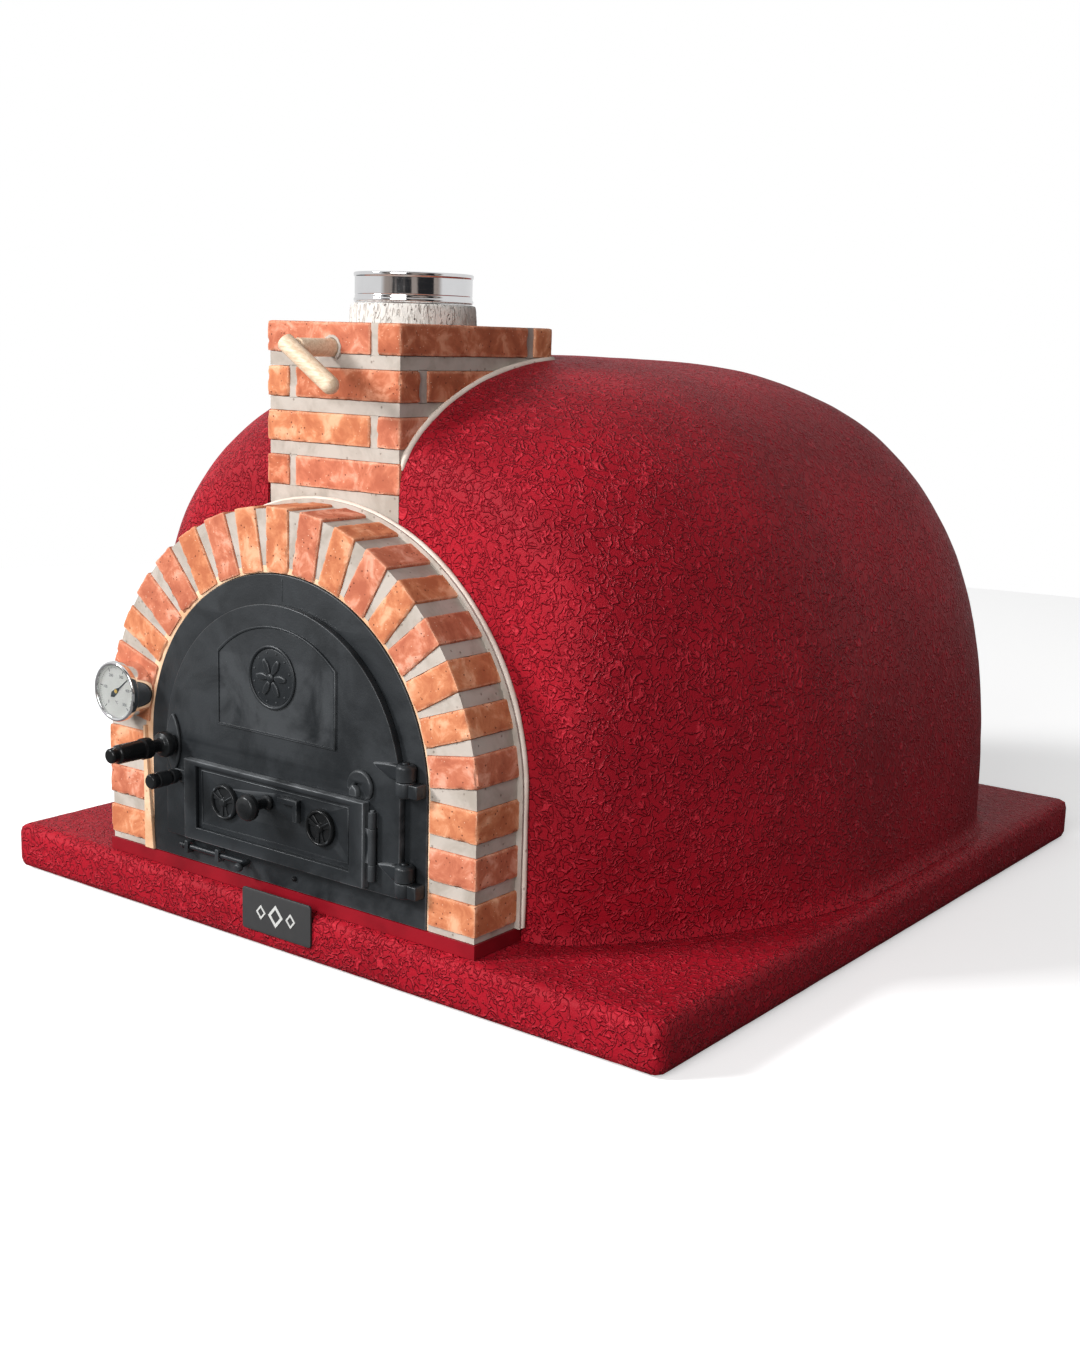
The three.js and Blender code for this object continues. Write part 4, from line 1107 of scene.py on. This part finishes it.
def makeFrame():
    bottom = frameLow.z / mm
    outer = archOutline(doorX - door["lead"], bottom, springLine, door["frameRadius"] + door["lead"], 96)
    radius = door["openingRadius"]
    reach, low, high = door["notch"]
    left = doorX - radius
    start = math.degrees(math.acos(-math.sqrt(1 - ((high - springLine) / radius) ** 2)))
    hole = [(left, door["sill"]), (left, low), (left - reach, low), (left - reach, high)]
    hole += arcPoints(doorX, springLine, radius, start, 0, 72) + [(-left + 2 * doorX, door["sill"])]
    ironPlate("frame_casting", "oven", [outer, hole], door["frameBack"], door["frameFront"], 1.4,
              replaced=["door_frame"])
    half, low, high = door["seam"]
    seam = rectangle(doorX - half, springLine + low, doorX + half, springLine + high)
    mesh = plateMesh("frame_seam", [seam], door["frameFront"] + 1, door["frameFront"] - 0.5, 0.3)
    addPiece("frame_seam", mesh, "oven", blackIron)
    stud = [(0, 0), (3.4, 0), (3.4, 2.4), (1.6, 4.6), (0, 5)]
    for name, (x, z) in door["studs"].items():
        mesh = turnedMesh(name, stud, (x, door["frameFront"] + 0.2, z), (0, -1, 0), 24, 0.5)
        addPiece(name, mesh, "oven", blackIron)


panel = {"half": 99.0, "bottom": 281.0, "shoulder": 372.0, "crown": 413.0, "rise": 2.2}
medal = {"x": -4.0, "z": 352.0, "radius": 40.0, "petals": 6, "petalRing": 15.5, "dots": 12}


def panelOutline(shrink):
    half, bottom = panel["half"] - shrink, panel["bottom"] + shrink
    shoulder, crown = panel["shoulder"] - shrink, panel["crown"] - shrink
    rise = crown - shoulder
    radius = (half ** 2 + rise ** 2) / (2 * rise)
    sweep = math.degrees(math.asin(half / radius))
    arc = arcPoints(doorX, crown - radius, radius, 90 - sweep, 90 + sweep, 40)
    return [(doorX + half, bottom)] + arc + [(doorX - half, bottom)]


# A plain flower in a ring decorates the leaf.
def makeMedallion():
    x, z, radius = doorX + medal["x"], medal["z"], medal["radius"]
    y = door["leafFront"] - panel["rise"] + 0.3
    disc = [(0, 0), (radius - 5, 0), (radius - 5, 1.2), (radius - 14, 2.1), (0, 2.6)]
    ring = [(radius - 4, 0), (radius, 0), (radius, 2.4), (radius - 2, 3.4), (radius - 4, 2.4),
            (radius - 4, 0)]
    parts = [turnedMesh("medalDisc", disc, (x, y, z), (0, -1, 0), 72, 1.0, 60),
             turnedMesh("medalRing", ring, (x, y, z), (0, -1, 0), 96, 0.8, 60)]
    for petal in range(medal["petals"]):
        a = 2 * math.pi * petal / medal["petals"]
        out = medal["petalRing"]
        centre = Vector((x + out * math.cos(a), y - 2.3, z + out * math.sin(a)))
        lump = blockMesh("petal", (20, 4.6, 9.5), Matrix.Identity(4), 1.0 + petal, 2.2, 1.6, 0.0, 0.0)
        lump.transform(Matrix.Scale(1 / mm, 4))
        for vert in lump.vertices:
            vert.co.z *= 1 - 0.55 * abs(vert.co.x / 10) ** 1.6
        turn = Matrix.Rotation(-a, 4, "Y")
        lump.transform(Matrix.Scale(mm, 4) @ Matrix.Translation(centre) @ turn)
        parts.append(lump)
    boss = [(0, 0), (5.5, 0), (5.5, 3.4), (3, 5), (0, 5.4)]
    parts.append(turnedMesh("medalBoss", boss, (x, y - 1.5, z), (0, -1, 0), 32, 0.8, 60))
    for dot in range(medal["dots"]):
        a = 2 * math.pi * (dot + 0.5) / medal["dots"]
        spot = (x + (radius - 9) * math.cos(a), y - 0.6, z + (radius - 9) * math.sin(a))
        parts.append(turnedMesh("medalDot", [(0, 0), (1.5, 0), (1.2, 1.8), (0, 2.2)], spot, (0, -1, 0), 12,
                                0.3, 60))
    addPiece("leaf_medallion", joinedMesh("leaf_medallion", parts), "door", castIron)


latchPlate = {"tall": 38.0, "wide": 13.0, "bore": 6.3, "gripLength": 103}


def makeLeaf():
    x0, z0, x1, z1 = door["window"]
    outer = archOutline(doorX, door["leafBottom"], springLine, door["leafRadius"], 96)
    x, z = hinge["latch_turn"].x, hinge["latch_turn"].z
    bore = arcPoints(x, z, latchPlate["bore"], 0, 345, 23)
    window = roundedRect(x0, z0, x1, z1, 3.0)
    ironPlate("leaf_casting", "door", [outer, window, bore], door["leafBack"], door["leafFront"], 1.3,
              replaced=["door_leaf"])
    front = door["leafFront"]
    ironPlate("leaf_panel", "door", [panelOutline(0)], front + 1.2, front - panel["rise"], 1.3, 60)
    ironPlate("leaf_panel_lip", "door", [panelOutline(-2.2), panelOutline(0.6)], front + 1, front - 3.4,
              0.9, 60)
    makeMedallion()
    tall, wide = latchPlate["tall"], latchPlate["wide"]
    plate = [(x + wide * math.cos(a) * (1 - 0.35 * abs(math.sin(a)) ** 3), z + tall * math.sin(a))
             for a in np.linspace(0, 2 * math.pi, 48, endpoint=False)]
    ironPlate("latch_plate", "door", [plate, bore], front + 0.6, front - 5.0, 2.4, 60)


# The lobed boss over the hatch's top corner and the small pointed stop in it.
keeper = {"x": 143.0, "z": 243.0, "radius": 20.0}


def makeKeeper():
    x, z, radius = doorX + keeper["x"], keeper["z"], keeper["radius"]
    front = door["leafFront"]
    lobe = arcPoints(x, z, radius, -35, 195, 40)
    lobe += [(x - radius * 0.75, z - 7), (x - 5, z + 3), (x + 3, z + 3), (x + radius * 0.55, z - 15)]
    ironPlate("keeper_lobe", "door", [lobe], front + 0.6, front - 6.0, 3.4, 60)
    pointer = [(x - 14, z - 12.5), (x - 2, z - 12.5), (x - 3, z - 4), (x - 9, z + 1), (x - 14, z - 6)]
    ironPlate("keeper_stop", "door", [pointer], front + 0.6, front - 8.0, 1.6, 60)


knuckles = {"radius": 12.0, "height": 19.0, "rises": {"upper": 261.3, "lower": 140.3},
            "straps": {"upper": 46, "lower": 37}}


def makeHinges():
    x, y = hinge["door_hinge"].x, hinge["door_hinge"].y
    radius, height = knuckles["radius"], knuckles["height"]
    for level, z in knuckles["rises"].items():
        barrel = [(0, 0.1), (radius, 0.1), (radius, height - 2), (radius - 3.4, height + 1.4),
                  (0, height + 1.4)]
        upper = turnedMesh("upper", barrel, (x, y, z), (0, 0, 1), 40, 1.6, 60)
        reach = knuckles["straps"][level]
        outline = [(x, z + 0.8), (x, z + height - 0.4), (x - reach * 0.45, z + height - 0.4),
                   (x - reach, z + height - 3.5), (x - reach + 7, z + height * 0.5),
                   (x - reach * 0.42, z + 0.8)]
        strap = plateMesh("strap", [outline], y + 1.5, y - 7.6, 2.2, 60)
        mesh = combined(f"hinge_leaf_{level}", upper, [strap], "UNION")
        addPiece(f"hinge_leaf_{level}", mesh, "door", castIron)
        barrel = [(0, 0), (radius - 1.2, 0), (radius, 3), (radius, height - 0.6), (0, height - 0.6)]
        lower = turnedMesh("lower", barrel, (x, y, z - height), (0, 0, 1), 40, 1.6, 60)
        block = plateMesh("block", [roundedRect(x - 2, z - height + 0.8, x + 22.5, z - 1.6, 1.5)], y + 10.9,
                          y - 7.0, 1.6, 60)
        mesh = combined(f"hinge_block_{level}", lower, [block], "UNION")
        addPiece(f"hinge_block_{level}", mesh, "oven", castIron)
        head = [(0, 0), (4.6, 0), (4.6, 1.6), (2.5, 2.6), (0, 2.8)]
        mesh = turnedMesh(f"hinge_head_{level}", head, (x, y, z + height + 1.2), (0, 0, 1), 32, 0.6, 60)
        addPiece(f"hinge_head_{level}", mesh, "oven", blackIron)
        finishNode("hinge_pin_" + level, castIron)


bolt = {"y": -591.5, "z": 103.3, "left": -210.0, "length": 126.0, "radius": 3.6,
        "staples": (-192.0, -134.0)}


def makeBolt():
    y, z, x, radius = bolt["y"], bolt["z"], bolt["left"], bolt["radius"]
    rod = [(0, 0), (2.2, 0), (radius, 2.5), (radius, 6), (radius + 1.2, 7), (radius + 1.2, 9), (radius, 10),
           (radius, bolt["length"]), (0, bolt["length"])]
    parts = [turnedMesh("rod", rod, (x, y, z), (1, 0, 0), 28, 0.5, 60)]
    knob = [(0, -4), (3.6, -4), (3.6, 8), (5.6, 10), (6.2, 13), (4.2, 16.6), (0, 17.4)]
    parts.append(turnedMesh("knob", knob, (x + bolt["length"] - 2, y, z), (0, -1, -0.25), 32, 1.0, 60))
    mesh = combined("bolt_rod", parts[0], parts[1:], "UNION")
    addPiece("bolt_rod", mesh, "slide_bolt", castIron, ["slide_bolt"])
    for number, place in enumerate(bolt["staples"], 1):
        outer = roundedRect(place - 3.2, z - 8.5, place + 3.2, z + 8.5, 2.2)
        saddle = plateMesh("saddle", [outer], door["frameFront"] + 0.5, y - radius - 2.6, 1.0, 60)
        bore = turnedMesh("bore", barProfile(radius + 1.7, 0, 40), (place - 20, y, z), (1, 0, 0), 28)
        mesh = combined(f"bolt_staple_{number}", saddle, [bore], "DIFFERENCE")
        addPiece(f"bolt_staple_{number}", mesh, "oven", castIron)


makeFrame()
makeLeaf()
makeKeeper()
makeHinges()
makeBolt()


# The hatch in the leaf.
hatch = {
    "x0": -182.0, "x1": 130.0, "z0": 121.3, "z1": 226.3, "rail": 22.0,
    "front": -608.1, "panelFront": -602.1, "back": -596.1,
    "knuckle": (5, 22), "lugs": {"upper": 22.3, "lower": -42.3},
    "discs": (-110.0, 58.0), "discZ": 181.3, "shank": (-34.0, 195.3), "catch": (24, 13),
}


def discSlots(x, z):
    slots = []
    for slot in range(3):
        start = 90 + slot * 120 - 31
        end = start + 62
        slots.append(arcPoints(x, z, 17.0, start, end, 10) + arcPoints(x, z, 7.0, end, start, 6))
    return slots


def makeHatch():
    x0, x1, z0, z1 = hatch["x0"], hatch["x1"], hatch["z0"], hatch["z1"]
    rail = hatch["rail"]
    hole = rectangle(x0 + rail, z0 + rail - 5, x1 - rail, z1 - 7)
    outer = rectangle(x0, z0, x1, z1)
    ironPlate("hatch_rails", "vent_door", [outer, hole], hatch["panelFront"] + 1.0, hatch["front"], 1.5,
              replaced=["vent_door"])
    holes = [slot for x in hatch["discs"] for slot in discSlots(x, hatch["discZ"])]
    holes.append(arcPoints(*hatch["shank"], 4.4, 0, 345, 23))
    plate = rectangle(x0 + 0.4, z0 + 0.4, x1 - 0.4, z1 - 0.4)
    ironPlate("hatch_panel", "vent_door", [plate, *holes], hatch["back"], hatch["panelFront"], 0.5)
    inset = rectangle(x0 + rail + 6, z0 + rail + 1, x1 - rail - 6, z1 - 12)
    groove = rectangle(x0 + rail + 7.6, z0 + rail + 2.6, x1 - rail - 7.6, z1 - 13.6)
    ironPlate("hatch_moulding", "vent_door", [inset, groove], hatch["panelFront"] + 0.6,
              hatch["panelFront"] - 0.9, 0.5, 60)
    x, y = hinge["vent_door_hinge"].x, hinge["vent_door_hinge"].y
    middle = (z0 + z1) / 2
    pin, tall = hatch["knuckle"]
    barrel = turnedMesh("barrel", barProfile(pin, -tall, tall), (x, y, middle), (0, 0, 1), 32, 0.8)
    web = plateMesh("web", [rectangle(x1 - 3, middle - tall + 0.5, x, middle + tall - 0.5)], y + 2, y - 2,
                    0.6)
    mesh = combined("hatch_knuckle", barrel, [web], "UNION")
    addPiece("hatch_knuckle", mesh, "vent_door", castIron)
    for level, rise in hatch["lugs"].items():
        low = middle + rise
        lug = turnedMesh("lug", barProfile(pin, 0, 20), (x, y, low), (0, 0, 1), 32, 0.8)
        foot = plateMesh("foot", [rectangle(x - 4, low + 0.5, x + 4, low + 19.5)], y + 6, y, 0.8)
        mesh = combined("hatch_lug_" + level, lug, [foot], "UNION")
        addPiece("hatch_lug_" + level, mesh, "door", castIron)
    finishNode("vent_door_pin", castIron)


disc = {"rim": 23.0, "back": -602.4, "vanes": 3}


def makeAirDisc(side, x):
    z, y, rim = hatch["discZ"], disc["back"], disc["rim"]
    ring = [(rim - 5.2, 0), (rim, 0), (rim, 4.2), (rim - 1.6, 6.6), (rim - 3.6, 6.6), (rim - 5.2, 4.4),
            (rim - 5.2, 0)]
    parts = [turnedMesh("hub", [(0, 0.2), (6.4, 0.2), (6.4, 4.6), (4.2, 7.4), (0, 7.8)], (x, y, z),
                        (0, -1, 0), 32, 0.8, 60)]
    parts.append(turnedMesh("web", barProfile(rim - 4, 0.1, 2.6), (x, y, z), (0, -1, 0), 48, 0.4, 60))
    for vane in range(disc["vanes"]):
        a = math.radians(90 + 60 + vane * 120)
        reach = rim - 3.4
        across = Vector((-math.sin(a), 0, math.cos(a)))
        along = Vector((math.cos(a), 0, math.sin(a)))
        blade = ((2, -4), (10, -5.5), (reach, -9.2), (reach, 9.2), (10, 5.5), (2, 4))
        rib = ((3, -1.5), (reach, -1.2), (reach, 1.2), (3, 1.5))
        for shape, back, front, edge in ((blade, 0.6, 4.4, 1.6), (rib, 2.5, 6.0, 0.8)):
            points = [Vector((x, 0, z)) + along * r + across * w for r, w in shape]
            parts.append(plateMesh("vane", [[(p.x, p.z) for p in points]], y - back, y - front, edge, 60))
    mesh = combined("disc_" + side, turnedMesh("ring", ring, (x, y, z), (0, -1, 0), 72, 0.9, 60), parts,
                    "UNION")
    addPiece("disc_" + side, mesh, "air_disc_" + side, blackIron, ["air_disc_" + side])


def makeHatchKnob():
    x, z = hatch["shank"]
    low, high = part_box("vent_latch_knob")
    back, front = high.y / mm, low.y / mm
    seat = back - hatch["panelFront"] + 0.4
    end = back - front
    knob = [(0, 0), (4, 0), (4, seat), (10, seat), (10, seat + 3.5), (6.5, seat + 6.5), (6.5, end - 22),
            (11, end - 17.5), (16.5, end - 12.5), (17, end - 7), (14, end - 2), (7, end), (0, end)]
    mesh = turnedMesh("knobTurned", knob, (x, back, z), (0, -1, 0), 56, 1.4, 60)
    cam = plateMesh("cam", [roundedRect(x - 25, z - 4.5, x, z + 4.5, 2.5)], back, back - 3, 0.6)
    mesh = combined("hatch_knob", mesh, [cam], "UNION")
    addPiece("hatch_knob", mesh, "vent_latch", blackIron, ["vent_latch_knob"])
    left, top = x + hatch["catch"][0], z + hatch["catch"][1]
    lug = [(left, top - 7), (left + 26, top - 7), (left + 26, top - 27),
           (left + 33, top - 27), (left + 33, top), (left, top)]
    ironPlate("hatch_catch", "vent_door", [lug[::-1]], hatch["panelFront"] + 0.4, hatch["panelFront"] - 8.5,
              1.2, 60)


def makeHatchHandle():
    low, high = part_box("vent_door_handle")
    x, z = (low.x + high.x) / 2 / mm, (low.z + high.z) / 2 / mm
    back, reach = high.y / mm, (high.y - low.y) / mm
    grip = [(0, 0), (7.5, 0), (7.5, 5), (9.6, 6.5), (9.6, 13), (8.4, 14.5), (8.4, 17), (10, 18.5),
            (10, reach - 12),
            (9, reach - 11), (9, reach - 9), (10, reach - 8), (10, reach - 2.5), (8, reach), (0, reach)]
    mesh = turnedMesh("hatch_grip", grip, (x, back, z), (0, -1, 0), 48, 0.7, 60)
    addPiece("hatch_grip", mesh, "vent_door", blackIron, ["vent_door_handle"])
    x0 = hatch["x0"]
    ear = roundedRect(x - 10, z - 8, x0 + 3, z + 8, 5.0)
    ironPlate("hatch_ear", "vent_door", [ear], hatch["back"], hatch["back"] - 5, 1.0, 60)


def makeLatch():
    low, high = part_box("latch_handle")
    x, z = (low.x + high.x) / 2 / mm, (low.z + high.z) / 2 / mm
    back, end = high.y / mm, (high.y - low.y) / mm
    seat = end - latchPlate["gripLength"]
    boss = [(11.5, 0), (11.5, 4), (9, 6), (16.5, 9), (17, 15), (15.5, 20), (10, 22), (8.2, 25), (8.2, 37)]
    barrel = [(13.2, 39), (13.8, 42), (13.8, 51), (12.6, 53), (12.2, 56)]
    grip = [(0, 0), (6, 0), (6, seat)] + [(radius, seat + along) for radius, along in boss + barrel]
    grip += [(12.2, end - 13), (9.6, end - 11), (9.6, end - 2), (7.5, end), (0, end)]
    mesh = turnedMesh("latch_grip", grip, (x, back, z), (0, -1, 0), 64, 1.1, 60)
    addPiece("latch_grip", mesh, "latch", blackIron, ["latch_handle"])
    finishNode("latch_cam", castIron, 0.6)


makeHatch()
for side, x in zip(("left", "right"), hatch["discs"]):
    makeAirDisc(side, x)
makeHatchKnob()
makeHatchHandle()
makeLatch()
print("door made")


# The thermometer.
gauge = {"rim": 40.0, "window": 34.8, "floorDepth": 6.5, "dial": 36, "textSize": 5.6}
dial = {"ticks": 50, "tickRadius": 33, "numberRadius": 22.5, "tilt": 52.0,
        "numbers": ("0", "100", "200", "300", "400", "500"), "start": 225.0, "sweep": 270.0}


def makeGauge():
    low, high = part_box("gauge_case")
    x, z = (low.x + high.x) / 2 / mm, (low.z + high.z) / 2 / mm
    back, depth = high.y / mm, (high.y - low.y) / mm
    rim, window = gauge["rim"], gauge["window"]
    floor = depth - gauge["floorDepth"]
    case = [(0, 0), (36, 0), (36, depth - 10.5), (37.5, depth - 9.5), (rim, depth - 9), (rim, depth - 2.2),
            (rim - 1.2, depth - 0.5),
            (rim - 2.4, depth), (window + 0.4, depth - 0.8), (window, depth - 2.2), (window, floor),
            (0, floor)]
    mesh = turnedMesh("gauge_shell", case, (x, back, z), (0, -1, 0), 112, 0.7, 40)
    addPiece("gauge_shell", mesh, "oven", steel, ["gauge_case"])
    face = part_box("gauge_dial")
    mesh = turnedMesh("gauge_face", barProfile(gauge["dial"], 0, 1), (x, face[1].y / mm, z), (0, -1, 0), 96,
                      0.1)
    addPiece("gauge_face", mesh, "oven", dialFace, ["gauge_dial"])
    front = face[0].y / mm
    marks = []
    outer = dial["tickRadius"]
    for tick in range(dial["ticks"] + 1):
        a = math.radians(dial["start"] - dial["sweep"] * tick / dial["ticks"])
        long = 5.2 if tick % 10 == 0 else 3.6 if tick % 5 == 0 else 2.2
        half = 0.55 if tick % 10 == 0 else 0.22
        heading = Vector((math.cos(a), math.sin(a)))
        aside = Vector((-heading.y, heading.x))
        centre = Vector((x, z))
        shape = rectangle(outer - long, -half, outer, half)
        corners = [centre + heading * r + aside * w for r, w in shape]
        marks.append(prismMesh("mark", [tuple(c) for c in corners], front + 0.05, front - 0.08))
    for number, label in enumerate(dial["numbers"]):
        a = math.radians(dial["start"] - dial["sweep"] * number / 5)
        reach = dial["numberRadius"]
        marks.append(numberMesh(label, x + reach * math.cos(a), z + reach * math.sin(a), front))
    marks.append(numberMesh("°C", x, z - 15, front))
    addPiece("gauge_marks", joinedMesh("gauge_marks", marks), "oven", dialInk)
    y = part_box("gauge_needle")[1].y / mm
    tilt = math.radians(dial["tilt"])
    blade = [(-3.2, 2), (-4.2, -8), (0, -14), (4.2, -8), (3.2, 2), (0.9, 8), (0.45, 29), (-0.45, 29),
             (-0.9, 8)]
    c, s = math.cos(tilt), math.sin(tilt)
    turned = [(x + px * c + pz * s, z - px * s + pz * c) for px, pz in blade]
    mesh = plateMesh("needle_blade", [turned[::-1]], y, y - 0.7, 0.15)
    addPiece("needle_blade", mesh, "gauge_needle", dialInk, ["gauge_needle"])
    cap = [(0, 0), (2.8, 0), (2.8, 0.8), (1.8, 1.3), (0, 1.4)]
    mesh = turnedMesh("needle_cap", cap, (x, y - 0.2, z), (0, -1, 0), 32, 0.3)
    addPiece("needle_cap", mesh, "gauge_needle", brassTone)
    finishNode("gauge_glass", dialGlass)


def numberMesh(label, x, z, front):
    text = bpy.data.curves.new("number", "FONT")
    text.body = label
    text.size = gauge["textSize"] * mm
    text.align_x = "CENTER"
    text.align_y = "CENTER"
    text.extrude = 0.05 * mm
    drawn = linked("number", text)
    bpy.context.view_layer.update()
    mesh = bpy.data.meshes.new_from_object(drawn.evaluated_get(bpy.context.evaluated_depsgraph_get()))
    bpy.data.objects.remove(drawn)
    cleaned(mesh, weld=0.001 * mm, outward=False)
    mesh.transform(Matrix.Translation(Vector((x, front - 0.02, z)) * mm) @ facingFront)
    return mesh


plaque = {"relief": 0.8, "corner": 4, "lozenges": ((-26, 8.5), (0, 13), (26, 8.5)), "tall": 1.15,
          "hole": 0.62}


# The plate carries three lozenges and no lettering.
def makePlaque():
    low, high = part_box("name_plate")
    x0, z0, x1, z1 = low.x / mm, low.z / mm, high.x / mm, high.z / mm
    mesh = plateMesh("plate_blank", [roundedRect(x0, z0, x1, z1, plaque["corner"])], high.y / mm,
                     low.y / mm, 0.6)
    addPiece("plate_blank", mesh, "oven", plateFace, ["name_plate"])
    back, front = low.y / mm + 0.2, low.y / mm - plaque["relief"]
    parts = []
    cx, cz = (x0 + x1) / 2, (z0 + z1) / 2
    tall, inner = plaque["tall"], plaque["hole"]
    for shift, size in plaque["lozenges"]:
        x = cx + shift
        lozenge = [(x + size, cz), (x, cz + size * tall), (x - size, cz), (x, cz - size * tall)]
        hole = [(x + (px - x) * inner, cz + (pz - cz) * inner) for px, pz in lozenge]
        parts.append(plateMesh("lozenge", [lozenge, hole], back, front, 0.25))
    addPiece("plate_ornament", joinedMesh("plate_ornament", parts), "oven", plateRaised)


makeGauge()
makePlaque()
print("gauge and plate made")


# Floor, light and camera.
studio = {
    "ambient": 0.28, "key": 620.0, "keySize": 1.6, "keyAt": (-4.5, -5.8, 4.3),
    "fill": 250.0, "fillSize": 3.0, "fillAt": (1.1, -6.0, 2.4),
    "floorGlow": 0.42, "floorRadius": 3.3, "floorSides": 96, "floorSeen": 0.9, "floorThrown": 0.22,
    "mirror": 0.8, "roomEdge": (0.42, 0.6), "stripeEdge": (0.5, 0.56), "stripes": 3.6,
    "aim": (0, -0.2, 0.3),
}


def grey(level):
    return (level, level, level, 1)


# A round of pale paper, white to the view, that throws only a little light back on the oven.
def makeStage():
    radius, sides = studio["floorRadius"], studio["floorSides"]
    turns = np.linspace(0, 2 * math.pi, sides, endpoint=False)
    rim = [(radius * math.cos(a), radius * math.sin(a), 0) for a in turns]
    floor = meshFrom("floor", rim, [tuple(range(sides))])
    ground = linked("floor", floor)
    ground.location.z = -0.0005
    paper, kit, shader = finishMaterial("palePaper", 0.95, 0.0, 0.0)[:3]
    seen = kit.add("LightPath").outputs["Is Camera Ray"]
    shader.inputs["Emission Color"].default_value = grey(1.0)
    kit.put(shader, Base_Color=kit.mix(seen, grey(studio["floorThrown"]), grey(studio["floorSeen"])),
            Emission_Strength=kit.math("MULTIPLY", seen, studio["floorGlow"]))
    floor.materials.append(paper)


# White all round for the view and the soft light, with a darker room behind the camera for polished metal.
def makeWorld(towardsCamera):
    world = bpy.data.worlds.new("studio")
    bpy.context.scene.world = world
    world.use_nodes = True
    tree = world.node_tree
    tree.nodes.clear()
    kit = Nodes(tree)
    heading = kit.add("TexCoord").outputs["Generated"]
    facing = kit.add("VectorMath", operation="DOT_PRODUCT")
    tree.links.new(heading, facing.inputs[0])
    facing.inputs[1].default_value = towardsCamera
    room = kit.ramp(facing.outputs["Value"], *studio["roomEdge"])
    stripes = kit.ramp(kit.noise(heading, studio["stripes"], 1.0), *studio["stripeEdge"])
    dark = kit.mix(stripes, (0.02, 0.02, 0.022, 1), (0.35, 0.3, 0.27, 1))
    reflected = kit.mix(room, grey(studio["mirror"]), dark)
    rays = kit.add("LightPath")
    white = grey(1.0)
    soft, shiny, seen = [kit.add("Background") for layer in range(3)]
    kit.put(soft, Color=white, Strength=studio["ambient"])
    kit.put(shiny, Color=reflected)
    kit.put(seen, Color=white)
    light = soft.outputs[0]
    for ray, above in (("Is Glossy Ray", shiny), ("Is Camera Ray", seen)):
        blend = kit.add("MixShader")
        for socket, value in zip(blend.inputs, (rays.outputs[ray], light, above.outputs[0])):
            tree.links.new(value, socket)
        light = blend.outputs[0]
    kit.put(kit.add("OutputWorld"), Surface=light)


def addLight(name, place, aim, size, power):
    lamp = bpy.data.lights.new(name, "AREA")
    lamp.size = size
    lamp.energy = power
    light = linked(name, lamp)
    light.location = place
    light.rotation_euler = (Vector(aim) - Vector(place)).to_track_quat("-Z", "Y").to_euler()


view = {"at": (1.4289, -2.0049, 0.7679), "yaw": 36.81, "pitch": 11.39, "roll": 1.67, "lens": 44.81,
        "sensor": 36.0}


def makeCamera():
    yaw, pitch, roll = (math.radians(view[key]) for key in ("yaw", "pitch", "roll"))
    ahead = Vector((-math.sin(yaw) * math.cos(pitch), math.cos(yaw) * math.cos(pitch), -math.sin(pitch)))
    level = ahead.cross(Vector((0, 0, 1))).normalized()
    upright = level.cross(ahead)
    right = level * math.cos(roll) + upright * math.sin(roll)
    up = upright * math.cos(roll) - level * math.sin(roll)
    data = bpy.data.cameras.new("camera")
    data.lens = view["lens"]
    data.sensor_width = view["sensor"]
    camera = linked("camera", data)
    camera.matrix_world = Matrix((right, up, -ahead)).transposed().to_4x4()
    camera.location = view["at"]
    bpy.context.scene.camera = camera
    return -ahead


towardsCamera = makeCamera()
makeStage()
makeWorld(towardsCamera)
for lamp in ("key", "fill"):
    addLight(lamp, studio[lamp + "At"], studio["aim"], studio[lamp + "Size"], studio[lamp])
bpy.context.scene.view_settings.view_transform = "Standard"
print("stage made")
